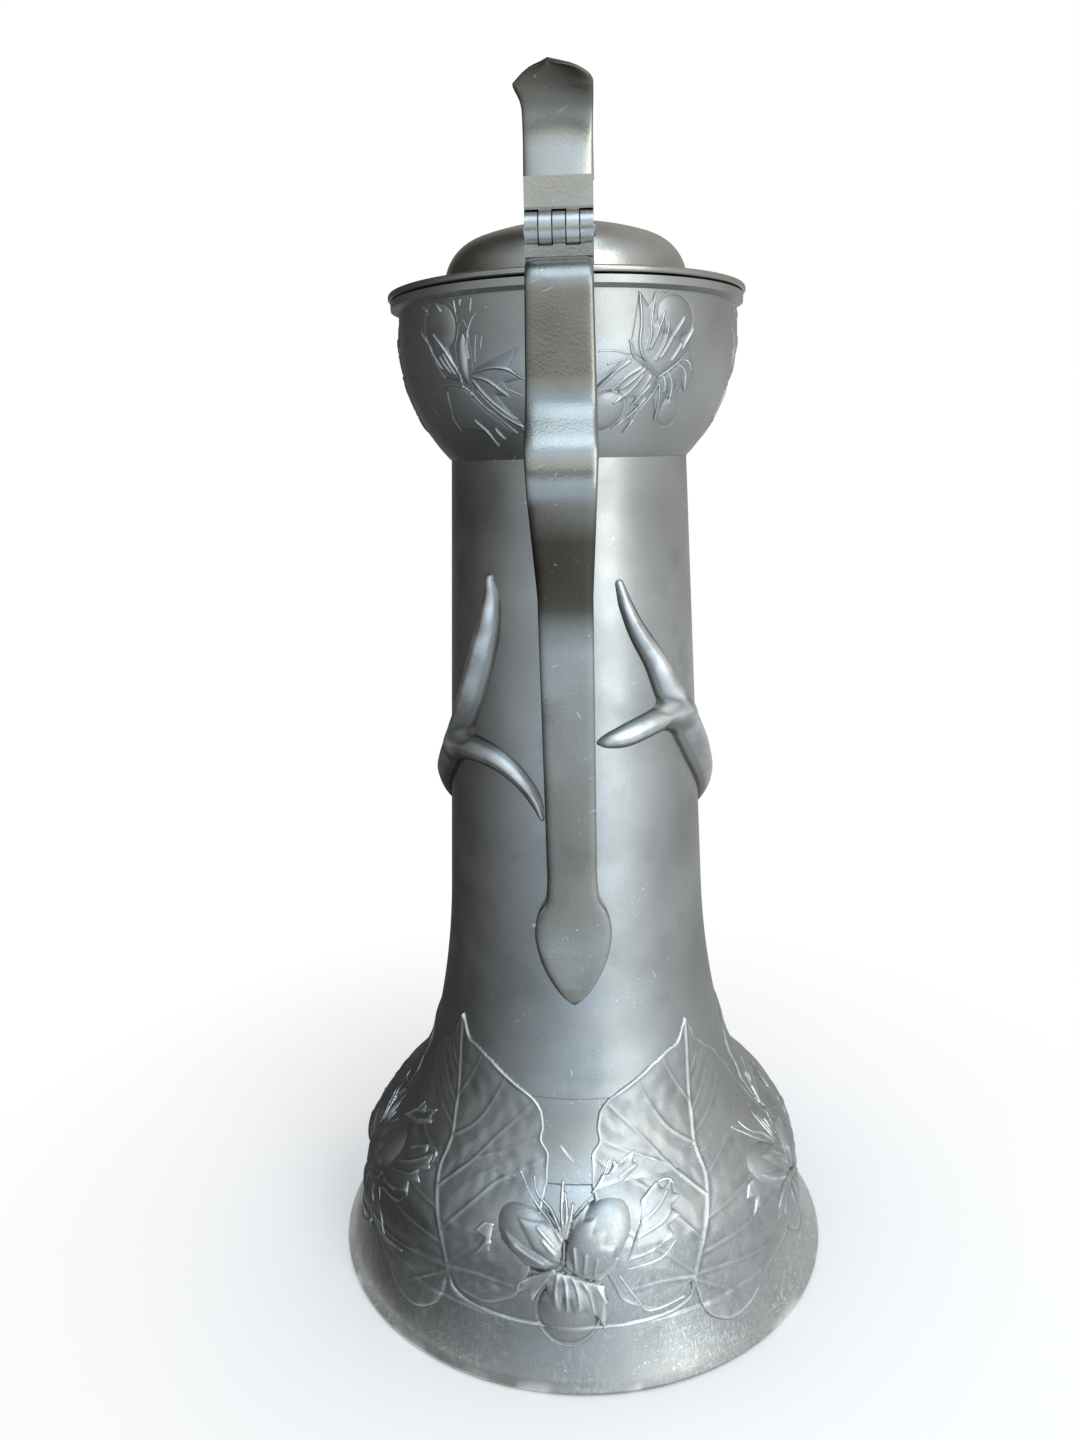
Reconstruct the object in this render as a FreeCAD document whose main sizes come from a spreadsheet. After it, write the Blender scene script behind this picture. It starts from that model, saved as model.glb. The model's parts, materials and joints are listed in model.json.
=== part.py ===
import FreeCAD, Part
import math
import os

import Sketcher
from FreeCAD import Placement, Rotation, Vector

# Lidded pewter pitcher. Millimetres, +Z up, origin on the floor under the middle of the foot.
# The pouring side faces -Y, the handle +Y, and the lid turns about an axis along X.

SIZES = [
    ("wall", 2.0, "wall of the foot, neck, collar and spout"),
    ("lid_wall", 1.8, "wall of the lid's dome"),
    ("running_gap", 0.3, "gap between pieces that move past each other"),
    ("seat_gap", 0.1, "play of a piece that drops into its seat"),
    ("overrun", 6.0, "how far a cut runs past the piece"),
    ("neck_top_radius", 34.5, "neck at the collar"),
    ("taper_length", 132.5, "straight taper of the upper neck"),
    ("taper_spread", 5.6, "how far the taper widens"),
    ("flare_length", 50.0, "flared part of the neck below the taper"),
    ("neck_flare", 7.4, "how far that part widens"),
    ("neck_hollow", 1.28, "inward curve of that part"),
    ("skirt_spread", 10.7, "neck's lowest end from its flare out to the seam"),
    ("skirt_rise", 20.5, "neck's lowest end from the seam up to its flare"),
    ("skirt_hollow", 1.3, "inward curve of that lowest end"),
    ("shoulder_spread", 10.7, "bell's shoulder from the neck's seam outward"),
    ("shoulder_rise", 13.0, "bell's shoulder from its side up to the neck's seam"),
    ("shoulder_bulge", 0.9, "outward curve of the shoulder"),
    ("side_spread", 4.1, "how far the bell's side widens downward"),
    ("side_height", 21.4, "bell's side"),
    ("side_bulge", 0.5, "outward curve of the bell's side"),
    ("bell_step", 0.6, "step from the bell out to the flared rim"),
    ("flange_spread", 6.8, "how far the flared rim widens"),
    ("flange_height", 16.5, "flared rim"),
    ("flange_hollow", 0.5, "hollow of the flared rim's slope"),
    ("foot_edge", 1.2, "rounding of the foot's lower edge"),
    ("foot_ring_width", 3.0, "flat ring that stands on the table"),
    ("hazel_width", 74.5, "leaf in relief on the foot"),
    ("hazel_length", 78.5, "that leaf from its lowest lobe to its tip"),
    ("hazel_base", 10.5, "its lowest lobe above the table"),
    ("hazel_rise", 0.9, "how far it stands off the bell"),
    ("nut_length", 19.5, "nut in relief on the foot"),
    ("nut_width", 15.0, "that nut across"),
    ("nut_rise", 2.2, "how far it stands off the bell"),
    ("nut_sink", 0.6, "its middle inside the bell"),
    ("disc_thickness", 2.2, "bottom disc"),
    ("disc_rise", 4.6, "bottom disc above the table"),
    ("belly_spread", 13.3, "how far the collar's curve widens"),
    ("belly_height", 31.5, "collar's curve"),
    ("belly_bulge", 3.2, "outward curve of the collar"),
    ("collar_wall_height", 9.0, "upright wall above the collar's curve"),
    ("cove_height", 0.9, "slope under the collar's lip"),
    ("lip_spread", 2.2, "lip outside the collar's wall"),
    ("lip_height", 1.9, "collar's lip"),
    ("spout_radius", 15.0, "spout at its top"),
    ("spout_inset", 2.0, "middle of the spout's top inside the lip"),
    ("heel_radius", 3.0, "spout at its lower end"),
    ("heel_stand", 1.5, "middle of the spout's lower end outside the neck"),
    ("spout_depth", 39.0, "spout from the lip's top down"),
    ("lid_gap", 0.5, "gap between the lip and the lid"),
    ("lid_overhang", 0.6, "lid outside the lip"),
    ("lid_edge", 1.7, "thickness of the lid's edge"),
    ("lid_slope", 1.8, "rise of the flange from its edge to the dome"),
    ("dome_inset", 16.2, "dome's foot inside the lid's edge"),
    ("dome_turn_inset", 8.0, "dome's turn inside its foot"),
    ("dome_side", 12.0, "height of the dome's side"),
    ("dome_side_bulge", 2.3, "outward curve of the dome's side"),
    ("crown_rise", 4.6, "crown above the dome's side"),
    ("hinge_width", 16.2, "hinge barrel"),
    ("barrel_radius", 4.7, "hinge knuckles"),
    ("barrel_lift", 2.1, "barrel above the lid's edge"),
    ("hinge_back", 4.0, "hinge axis behind the lid's edge"),
    ("pin_radius", 1.5, "hinge pin"),
    ("pin_play", 0.05, "running fit of the pin in the moving knuckles"),
    ("pin_head", 0.4, "pin standing out at each end"),
    ("web_depth", 6.4, "foot of a fixed knuckle from front to back"),
    ("bar_height", 2.4, "bar under the fixed knuckles"),
    ("bar_depth", 8.2, "bar from front to back"),
    ("leaf_thickness", 2.6, "leaf on the lid"),
    ("riser_front", 3.4, "front of the leaf's riser before the axis"),
    ("riser_back", 3.0, "back of the leaf's riser behind the axis"),
    ("riser_wall", 1.5, "leaf in front of the barrel"),
    ("riser_height", 11.4, "top of the leaf's riser above the axis"),
    ("thumb_thickness", 3.0, "thumbpiece"),
    ("thumb_lean", 2.2, "forward lean of the thumbpiece"),
    ("thumb_lean_height", 15.0, "where the thumbpiece leans furthest"),
    ("thumb_back", 5.2, "how far its tip curls back past its root"),
    ("thumb_height", 23.9, "thumbpiece above the leaf"),
    ("thumb_bend", 12.0, "radius of its scoop"),
    ("thumb_root_width", 15.6, "thumbpiece at the leaf"),
    ("thumb_hollow", 0.9, "inward curve of its sides"),
    ("thumb_top_width", 17.4, "thumbpiece at its corners"),
    ("thumb_arch", 5.4, "rise of its rounded top"),
    ("thumb_arch_bulge", 1.2, "curve of that top on each side"),
    ("strap_thickness", 4.2, "handle's strap"),
    ("head_width", 15.9, "strap at the hinge"),
    ("strap_width", 17.3, "strap at its bulge"),
    ("stem_width", 14.0, "strap below its bulge"),
    ("shoulder_reach", 14.0, "strap's shoulder outside the lip"),
    ("shoulder_bend", 10.0, "bend at the strap's shoulder"),
    ("waist_reach", 15.4, "strap's waist outside the lip"),
    ("waist_drop", 31.0, "strap's waist below the lip's top"),
    ("waist_bend", 20.0, "bend at the strap's waist"),
    ("bulge_reach", 11.6, "strap's bulge outside its waist"),
    ("bulge_drop", 15.5, "strap's bulge below its waist"),
    ("bulge_bend", 13.0, "bend at the strap's bulge"),
    ("stem_inset", 14.6, "top of the stem inside the bulge"),
    ("stem_drop", 30.5, "top of the stem below the bulge"),
    ("stem_bend", 70.0, "bend at the top of the stem"),
    ("landing_gap", 1.5, "strap's middle line off the neck where it lands"),
    ("landing_rise", 54.0, "landing of the strap above the neck's skirt"),
    ("landing_bend", 60.0, "bend where the strap lands"),
    ("spade_flare", 3.0, "strap's middle line outside the taper at its lower end"),
    ("spade_width", 22.0, "widest line of the handle's lower end"),
    ("spade_tip_rise", 28.0, "tip of the lower end above the neck's skirt"),
    ("spade_length", 23.0, "lower end from its tip to its widest line"),
    ("spade_shoulder", 12.0, "lower end from its widest line to the strap"),
    ("spade_bulge", 2.8, "outward curve of the lower end's sides"),
    ("spade_hollow", 1.0, "inward curve where the strap widens"),
    ("beam_radius", 6.0, "thickest limb of an antler"),
]

doc = FreeCAD.newDocument("pitcher")
sheet = doc.addObject("Spreadsheet::Sheet", "Sizes")
for row, (alias, value, meaning) in enumerate(SIZES, start=1):
    sheet.set(f"A{row}", meaning)
    sheet.set(f"B{row}", str(value))
    sheet.setAlias(f"B{row}", alias)
doc.recompute()


class Size:
    """A length: its value in millimetres and the sheet expression that gives it."""

    def __init__(self, value, expression):
        self.value = value
        self.expression = expression

    def __add__(self, other):
        other = as_size(other)
        return Size(self.value + other.value, f"({self.expression} + {other.expression})")

    def __sub__(self, other):
        other = as_size(other)
        return Size(self.value - other.value, f"({self.expression} - {other.expression})")

    def __mul__(self, share):
        return Size(self.value * share, f"({self.expression} * {share:.6f})")

    def __truediv__(self, count):
        return Size(self.value / count, f"({self.expression} / {count})")

    def __neg__(self):
        return self * -1


def as_size(length):
    return length if isinstance(length, Size) else Size(length, str(length))


def size(alias):
    return Size(float(sheet.get(alias)), f"Sizes.{alias}")


def bind(item, name, length):
    item.setExpression(name, length.expression)


# Sketches

CROWN = "crown"
PLANES = {
    "XY": Rotation(),
    "XZ": Rotation(Vector(1, 0, 0), 90),
    "YZ": Rotation(Vector(1, 1, 1), 120),
}


def free_sketch(name, plane, offset=None, degrees=0):
    """A sketch on a plane of the frame, moved along the axis that the plane lacks or turned about Z."""
    sketch = doc.addObject("Sketcher::SketchObject", name)
    sketch.Placement = Placement(Vector(), Rotation(Vector(0, 0, 1), degrees) * PLANES[plane])
    if offset is not None:
        axis = next(letter for letter in "xyz" if letter.upper() not in plane)
        bind(sketch, f"Placement.Base.{axis}", offset)
    return sketch


def body_sketch(body, name, role):
    sketch = body.newObject("Sketcher::SketchObject", name)
    plane = next(feature for feature in body.Origin.OriginFeatures if feature.Role == role)
    sketch.AttachmentSupport = [(plane, "")]
    sketch.MapMode = "FlatFace"
    return sketch


def flat(point):
    return Vector(as_size(point[0]).value, as_size(point[1]).value, 0)


def pin_point(sketch, geometry, position, point):
    """Fix a point of the sketch to the lengths that place it, or to an axis where a length is zero."""
    for kind, axis, length in zip(("DistanceX", "DistanceY"), (-2, -1), point):
        if isinstance(length, Size):
            index = sketch.addConstraint(Sketcher.Constraint(kind, -1, 1, geometry, position, length.value))
            sketch.setExpression(f"Constraints[{index}]", length.expression)
        else:
            sketch.addConstraint(Sketcher.Constraint("PointOnObject", geometry, position, axis))


def draw(sketch, corners, closed=True):
    """Draw a chain of corners. A corner with a second point is reached by an arc through that point.

    A crown's arc has its centre on the upright axis instead.
    """
    ends = []
    count = len(corners)
    for index in range(count if closed else count - 1):
        start = corners[index][0]
        end, *through = corners[(index + 1) % count]
        if through:
            arc = Part.Arc(flat(start), flat(through[0]), flat(end))
            geometry = sketch.addGeometry(arc)
            turn = (flat(through[0]) - flat(start)).cross(flat(end) - flat(through[0])).z
            ends.append((geometry, 1, 2) if turn > 0 else (geometry, 2, 1))
            if CROWN in through:
                sketch.addConstraint(Sketcher.Constraint("PointOnObject", geometry, 3, -2))
            else:
                middle = sketch.addGeometry(Part.Point(flat(through[0])), True)
                sketch.addConstraint(Sketcher.Constraint("PointOnObject", middle, 1, geometry))
                pin_point(sketch, middle, 1, through[0])
        else:
            geometry = sketch.addGeometry(Part.LineSegment(flat(start), flat(end)))
            ends.append((geometry, 1, 2))
        pin_point(sketch, geometry, ends[-1][1], start)
    if not closed:
        pin_point(sketch, ends[-1][0], ends[-1][2], corners[-1][0])
    for index, (geometry, _, last) in enumerate(ends):
        if closed or index + 1 < len(ends):
            following, first, _ = ends[(index + 1) % len(ends)]
            sketch.addConstraint(Sketcher.Constraint("Coincident", geometry, last, following, first))
    return sketch


def draw_path(sketch, corners):
    """Draw an open path of straight runs whose corners, all but the two ends, have a bend radius."""
    places = [flat(corner[0]) for corner in corners]
    runs = [(after - before).normalize() for before, after in zip(places, places[1:])]
    cuts = [0]
    for corner, before, after in zip(corners[1:-1], runs, runs[1:]):
        cuts.append(corner[1].value * math.tan(before.getAngle(after) / 2))
    cuts.append(0)
    lines = []
    for index, run in enumerate(runs):
        start = places[index] + run * cuts[index]
        end = places[index + 1] - run * cuts[index + 1]
        lines.append(sketch.addGeometry(Part.LineSegment(start, end)))
    pin_point(sketch, lines[0], 1, corners[0][0])
    pin_point(sketch, lines[-1], 2, corners[-1][0])
    for index in range(1, len(corners) - 1):
        before, after = runs[index - 1], runs[index]
        turn = before.cross(after).z
        first = places[index] - before * cuts[index]
        last = places[index] + after * cuts[index]
        radius = corners[index][1]
        inward = Vector(-before.y, before.x, 0) * math.copysign(radius.value, turn)
        centre = first + inward
        middle = centre + (places[index] - centre).normalize() * radius.value
        arc = sketch.addGeometry(Part.Arc(first, middle, last))
        start, end = (1, 2) if turn > 0 else (2, 1)
        sketch.addConstraint(Sketcher.Constraint("Tangent", lines[index - 1], 2, arc, start))
        sketch.addConstraint(Sketcher.Constraint("Tangent", arc, end, lines[index], 1))
        bend = sketch.addConstraint(Sketcher.Constraint("Radius", arc, radius.value))
        sketch.setExpression(f"Constraints[{bend}]", radius.expression)
        corner = sketch.addGeometry(Part.Point(places[index]), True)
        pin_point(sketch, corner, 1, corners[index][0])
        sketch.addConstraint(Sketcher.Constraint("PointOnObject", corner, 1, lines[index - 1]))
        sketch.addConstraint(Sketcher.Constraint("PointOnObject", corner, 1, lines[index]))
    return sketch


def mirrored(corners):
    """Close an outline whose right half is given from bottom to top by its mirror image."""
    left = []
    for index in range(len(corners) - 1, -1, -1):
        place = corners[index][0]
        arc = corners[index + 1][1:] if index + 1 < len(corners) else ()
        left.append(((-place[0], place[1]), *[(-across, along) for across, along in arc]))
    if corners[-1][0][0] == 0:
        left = left[1:]
    if corners[0][0][0] == 0:
        closing = left.pop()
        return [(corners[0][0], *closing[1:])] + corners[1:] + left
    return corners + left


def bulged(start, end, bulge):
    """The middle point of an arc that stands off its chord by the bulge, to the right of the chord."""
    run = (flat(end) - flat(start)).normalize()
    across = (as_size(start[0]) + end[0]) / 2 + bulge * run.y
    along = (as_size(start[1]) + end[1]) / 2 - bulge * run.x
    return across, along


def arc_to(start, end, bulge):
    return end, bulged(start, end, bulge)


def crown_to(start, top):
    """An arc that rises to a point of the upright axis and is level there, marked as a crown."""
    span, rise = start[0].value, top[1].value - start[1].value
    radius = (span**2 + rise**2) / (2 * rise)
    half_turn = math.asin(span / radius) / 2
    sink = radius * (1 - math.cos(half_turn))
    return top, (as_size(radius * math.sin(half_turn)), top[1] - sink), CROWN


def edge_directions(start, corner):
    """Directions of travel at the start, middle and end of the edge that leads to a corner."""
    first, last = flat(start), flat(corner[0])
    if len(corner) == 1:
        run = (last - first).normalize()
        return run, run, run
    centre = Part.Circle(first, flat(corner[1]), last).Center
    turn = (flat(corner[1]) - first).cross(last - flat(corner[1])).z
    directions = []
    for place in (first, flat(corner[1]), last):
        spoke = (place - centre).normalize() * math.copysign(1, turn)
        directions.append(Vector(-spoke.y, spoke.x, 0))
    return directions


def moved_left(point, direction, distance):
    return as_size(point[0]) - distance * direction.y, as_size(point[1]) + distance * direction.x


def moved_line(outer, distance):
    """Copy of a wall line, given from bottom to top, moved toward the axis by a distance."""
    edges = [edge_directions(before[0], after) for before, after in zip(outer, outer[1:])]
    moved = []
    for index, corner in enumerate(outer):
        if index == 0:
            place = (as_size(corner[0][0]) - distance * (1 / edges[0][0].y), corner[0][1])
        elif index == len(edges):
            place = end_of_wall(corner[0], edges[-1][2], distance)
        else:
            mitre = edges[index - 1][2] + edges[index][0]
            mitre = mitre * (2 / mitre.dot(mitre))
            place = moved_left(corner[0], mitre, distance)
        through = ()
        if len(corner) > 1:
            through = (moved_left(corner[1], edges[index - 1][1], distance), *corner[2:])
        moved.append((place, *through))
    return moved


def shell(outer, wall):
    """Close a wall line with its copy one wall nearer the axis."""
    inner = moved_line(outer, wall)
    outline = list(outer)
    for index in range(len(inner) - 1, -1, -1):
        through = inner[index + 1][1:] if index + 1 < len(inner) else ()
        outline.append((inner[index][0], *through))
    return outline


def filled(outer):
    """Close a wall line along the upright axis."""
    return outer + [((0, outer[-1][0][1]),), ((0, outer[0][0][1]),)]


def wall_radius(line, height):
    """Radius of a wall line at a height."""
    for before, after in zip(line, line[1:]):
        start, end = flat(before[0]), flat(after[0])
        if not start.y <= height <= end.y:
            continue
        if len(after) == 1:
            return start.x + (end.x - start.x) * (height - start.y) / (end.y - start.y)
        circle = Part.Circle(start, flat(after[1]), end)
        reach = math.sqrt(circle.Radius**2 - (height - circle.Center.y) ** 2)
        return circle.Center.x + math.copysign(reach, start.x - circle.Center.x)
    raise ValueError(f"the wall has no height {height}")


def end_of_wall(point, direction, wall):
    """Inner end of a wall: level with the outer end, or under it where the wall meets the axis."""
    if as_size(point[0]).value == 0:
        return point[0], as_size(point[1]) - wall
    return as_size(point[0]) - wall * (1 / direction.y), point[1]


# Solids


def turned(name, corners):
    """A body turned about Z from its half section."""
    body = doc.addObject("PartDesign::Body", name)
    section = draw(body_sketch(body, f"{name}_section", "XZ_Plane"), corners)
    turn = body.newObject("PartDesign::Revolution", f"{name}_turn")
    turn.Profile = section
    turn.ReferenceAxis = (section, ["V_Axis"])
    turn.Angle = 360
    body.Tip = turn
    return body


def extruded(name, sketch, length, backward_only=False):
    """A sketch made solid to both sides of its plane, or only to the back of it."""
    block = doc.addObject("Part::Extrusion", name)
    block.Base = sketch
    block.DirMode = "Normal"
    block.Solid = True
    block.Symmetric = not backward_only
    block.Reversed = backward_only
    bind(block, "LengthFwd", length)
    return block


def cylinder_along_x(name, radius, start, length):
    rod = doc.addObject("Part::Cylinder", name)
    bind(rod, "Radius", radius)
    bind(rod, "Height", length)
    rod.Placement = Placement(Vector(), Rotation(Vector(0, 1, 0), 90))
    bind(rod, "Placement.Base.x", start)
    bind(rod, "Placement.Base.y", hinge_y)
    bind(rod, "Placement.Base.z", hinge_z)
    return rod


def box(name, start, lengths):
    block = doc.addObject("Part::Box", name)
    for axis, side, place, length in zip("xyz", ("Length", "Width", "Height"), start, lengths):
        bind(block, f"Placement.Base.{axis}", as_size(place))
        bind(block, side, as_size(length))
    return block


def joined(name, pieces):
    union = doc.addObject("Part::MultiFuse", name)
    union.Shapes = pieces
    union.Refine = True
    return union


def cut(name, base, tool):
    rest = doc.addObject("Part::Cut", name)
    rest.Base = base
    rest.Tool = tool
    rest.Refine = True
    return rest


def common(name, base, tool):
    overlap = doc.addObject("Part::Common", name)
    overlap.Base = base
    overlap.Tool = tool
    overlap.Refine = True
    return overlap


def swept(name, section, path):
    strap = doc.addObject("Part::Sweep", name)
    strap.Sections = [section]
    runs = [index for index in range(path.GeometryCount) if not path.getConstruction(index)]
    strap.Spine = (path, [f"Edge{number}" for number, _ in enumerate(runs, start=1)])
    strap.Solid = True
    return strap


wall = size("wall")
running_gap = size("running_gap")
overrun = size("overrun")

# Outer lines of the foot, neck and collar, in radius and height. Radii grow from the neck outward.

neck_top_radius = size("neck_top_radius")
taper_radius = neck_top_radius + size("taper_spread")
skirt_top_radius = taper_radius + size("neck_flare")
seam_radius = skirt_top_radius + size("skirt_spread")
shoulder_radius = seam_radius + size("shoulder_spread")
bell_radius = shoulder_radius + size("side_spread")
flange_radius = bell_radius + size("bell_step")
foot_radius = flange_radius + size("flange_spread")
belly_radius = neck_top_radius + size("belly_spread")
lip_radius = belly_radius + size("lip_spread")

foot_edge = size("foot_edge")
flange_height = size("flange_height")
side_foot_height = flange_height + size("bell_step")
shoulder_height = side_foot_height + size("side_height")
seam_height = shoulder_height + size("shoulder_rise")
skirt_top_height = seam_height + size("skirt_rise")
taper_height = skirt_top_height + size("flare_length")
neck_top_height = taper_height + size("taper_length")
belly_height = neck_top_height + size("belly_height")
cove_height = belly_height + size("collar_wall_height")
lip_height = cove_height + size("cove_height")
rim_height = lip_height + size("lip_height")

# Foot: flared rim, bell side and the shoulder that ends at the neck's seam.

foot_bottom = (foot_radius - foot_edge, 0)
foot_side = (foot_radius, foot_edge)
flange_top = (flange_radius, flange_height)
bell_base = (bell_radius, side_foot_height)
shoulder = (shoulder_radius, shoulder_height)
seam = (seam_radius, seam_height)
FOOT_EDGE_SHARE = 0.2

foot_line = [
    (foot_bottom,),
    arc_to(foot_bottom, foot_side, foot_edge * FOOT_EDGE_SHARE),
    arc_to(foot_side, flange_top, -size("flange_hollow")),
    (bell_base,),
    arc_to(bell_base, shoulder, size("side_bulge")),
    arc_to(shoulder, seam, size("shoulder_bulge")),
]
bell_wall_line = foot_line[3:]
bell_inside = shell(bell_wall_line, wall)[len(bell_wall_line):]
disc_rise = size("disc_rise")
disc_top = disc_rise + size("disc_thickness")
foot_inside = [
    ((flange_radius - wall, disc_top),),
    ((flange_radius, disc_top),),
    ((flange_radius, disc_rise),),
    ((foot_radius - foot_edge - size("foot_ring_width"), 0),),
]
foot_shell = turned("foot_shell", foot_line + bell_inside + foot_inside)

bottom_disc = doc.addObject("Part::Cylinder", "bottom_disc")
bind(bottom_disc, "Radius", flange_radius - size("seat_gap"))
bind(bottom_disc, "Height", size("disc_thickness"))
bind(bottom_disc, "Placement.Base.z", disc_rise)

# Neck, from the skirt that lands on the bell up to the taper, and collar

skirt_top = (skirt_top_radius, skirt_top_height)
taper_foot = (taper_radius, taper_height)
neck_top = (neck_top_radius, neck_top_height)
neck_line = [
    (seam,),
    arc_to(seam, skirt_top, -size("skirt_hollow")),
    arc_to(skirt_top, taper_foot, -size("neck_hollow")),
    (neck_top,),
]
neck = turned("neck", shell(neck_line, wall))

belly = (belly_radius, belly_height)
collar_line = [
    (neck_top,),
    arc_to(neck_top, belly, size("belly_bulge")),
    ((belly_radius, cove_height),),
    ((lip_radius, lip_height),),
    ((lip_radius, rim_height),),
]
collar_wall_line = collar_line[:3]
collar_inside = shell(collar_wall_line, wall)[len(collar_wall_line):]
mouth_corner = ((belly_radius - wall, rim_height),)
collar_shell = turned("collar_shell", collar_line + [mouth_corner] + collar_inside)

# Filled outer forms of the jug and of the lid, which shape the pieces soldered on to them.

jug_line = neck_line + collar_line[1:]
jug_form = turned("jug_form", filled(jug_line))

# Relief of the foot: hazel leaves cut from a thin skin over the bell and the neck's lower end, and clusters
# of three nuts. A leaf's corners are shares of its width, to the left of its middle seen from outside, and
# of its length, and an arc stands out by a share of its width. A nut's place is a share of its length to
# the right of its cluster and a share of the seam's height, and its length leans by a heading.

HAZEL_SHARES = [
    (0.09, 1.0, 0),
    (-0.30, 0.78, 0),
    (-0.36, 0.71, 0),
    (-0.44, 0.53, 0),
    (-0.51, 0.32, 0.01),
    (-0.34, 0.12, 0.06),
    (-0.20, 0.18, 0),
    (-0.17, 0.08, 0),
    (-0.09, 0.0, 0),
    (0.05, 0.0, 0),
    (0.35, 0.09, 0),
    (0.49, 0.26, 0.03),
    (0.49, 0.45, 0.01),
    (0.31, 0.75, 0.02),
    (0.15, 0.89, 0),
]
HAZEL_TURNS = [(39, -1), (111, -1), (183, -1), (-43, 1), (-115, 1)]
NUT_SHARES = [(-0.48, 0.763, 148), (0.51, 0.777, 40), (0.08, 0.454, 268)]
CLUSTER_TURNS = [-3.6 + 72 * number for number in range(5)]

relief_line = [
    (foot_side,),
    arc_to(foot_side, flange_top, -size("flange_hollow")),
    arc_to(flange_top, shoulder, size("side_bulge")),
    arc_to(shoulder, seam, size("shoulder_bulge")),
    arc_to(seam, skirt_top, -size("skirt_hollow")),
    arc_to(skirt_top, taper_foot, -size("neck_hollow")),
]
foot_core = turned("foot_core", filled(moved_line(relief_line, wall / 2)))
hazel_skin = turned("hazel_skin", filled(moved_line(relief_line, -size("hazel_rise"))))


def hazel_corners(side):
    """A leaf's outline, as drawn or as its mirror image."""
    width = size("hazel_width") * side
    places = []
    for across_share, height_share, _ in HAZEL_SHARES:
        places.append((width * across_share, size("hazel_base") + size("hazel_length") * height_share))
    corners = []
    for index, (_, _, bulge_share) in enumerate(HAZEL_SHARES):
        if bulge_share:
            corners.append(arc_to(places[index - 1], places[index], width * bulge_share))
        else:
            corners.append((places[index],))
    return corners


def nut(name, degrees, place_shares):
    """An egg half sunk in the bell, its flat way along the wall."""
    across_share, height_share, heading = place_shares
    height = height_share * seam_height.value
    half_span = size("nut_width").value / 2
    reach = wall_radius(relief_line, height)
    narrowing = wall_radius(relief_line, height + half_span) - wall_radius(relief_line, height - half_span)
    turn = math.radians(degrees) + across_share * size("nut_length").value / reach
    outward = Vector(-math.sin(turn), math.cos(turn), 0)
    aside = Vector(-math.cos(turn), -math.sin(turn), 0)
    upward = (outward * narrowing + Vector(0, 0, 2 * half_span)).normalize()
    normal = aside.cross(upward)
    along = aside * math.cos(math.radians(heading)) + upward * math.sin(math.radians(heading))
    egg = doc.addObject("Part::Ellipsoid", name)
    bind(egg, "Radius1", size("nut_rise") + size("nut_sink"))
    bind(egg, "Radius2", size("nut_length") / 2)
    bind(egg, "Radius3", size("nut_width") / 2)
    middle = outward * reach + Vector(0, 0, height) - normal * size("nut_sink").value
    egg.Placement = Placement(middle, Rotation(along, normal.cross(along), normal, "ZXY"))
    return egg


hazel_blocks = []
for number, (degrees, side) in enumerate(HAZEL_TURNS, start=1):
    view = draw(free_sketch(f"hazel_view_{number}", "XZ", degrees=degrees), hazel_corners(side))
    hazel_blocks.append(extruded(f"hazel_block_{number}", view, foot_radius * 2, backward_only=True))
hazel_blanks = common("hazel_blanks", hazel_skin, joined("hazel_block", hazel_blocks))
hazel_rims = cut("hazel_rims", hazel_blanks, foot_core)
hazel_leaves = cut("hazel_leaves", hazel_rims, jug_form)

eggs = []
for cluster, degrees in enumerate(CLUSTER_TURNS, start=1):
    for number, place_shares in enumerate(NUT_SHARES, start=1):
        eggs.append(nut(f"nut_{cluster}_{number}", degrees, place_shares))
nuts = cut("nuts", joined("eggs", eggs), foot_core)
bell_foot = joined("bell_foot", [foot_shell, hazel_leaves, nuts])

# Spout: a tapering channel that stands out of the collar's front.

spout_reach = lip_radius - size("spout_inset")
heel_reach = neck_top_radius + size("heel_stand")
heel_height = rim_height - size("spout_depth")


def channel(name, top_radius, heel_radius, top_height):
    """A filled channel from a small circle at the heel to a wide one at the top."""
    rings = []
    stations = (
        ("heel", heel_reach, heel_radius, heel_height),
        ("top", spout_reach, top_radius, top_height),
    )
    for end, reach, radius, height in stations:
        ring = free_sketch(f"{name}_{end}", "XY", height)
        circle = ring.addGeometry(Part.Circle(Vector(0, -reach.value, 0), Vector(0, 0, 1), radius.value))
        ring.addConstraint(Sketcher.Constraint("PointOnObject", circle, 3, -2))
        place = ring.addConstraint(Sketcher.Constraint("DistanceY", circle, 3, -1, 1, reach.value))
        ring.setExpression(f"Constraints[{place}]", reach.expression)
        girth = ring.addConstraint(Sketcher.Constraint("Radius", circle, radius.value))
        ring.setExpression(f"Constraints[{girth}]", radius.expression)
        rings.append(ring)
    solid = doc.addObject("Part::Loft", name)
    solid.Sections = rings
    solid.Solid = True
    solid.Ruled = True
    return solid


spout_radius = size("spout_radius")
heel_radius = size("heel_radius")
spout_outside = channel("spout_outside", spout_radius, heel_radius, rim_height)
spout_inside = channel("spout_inside", spout_radius - wall, heel_radius - wall, rim_height)
spout_shell = cut("spout_shell", spout_outside, spout_inside)
pouring_lip = cut("pouring_lip", spout_shell, jug_form)
collar = cut("collar", collar_shell, spout_inside)

# Lid

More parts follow.
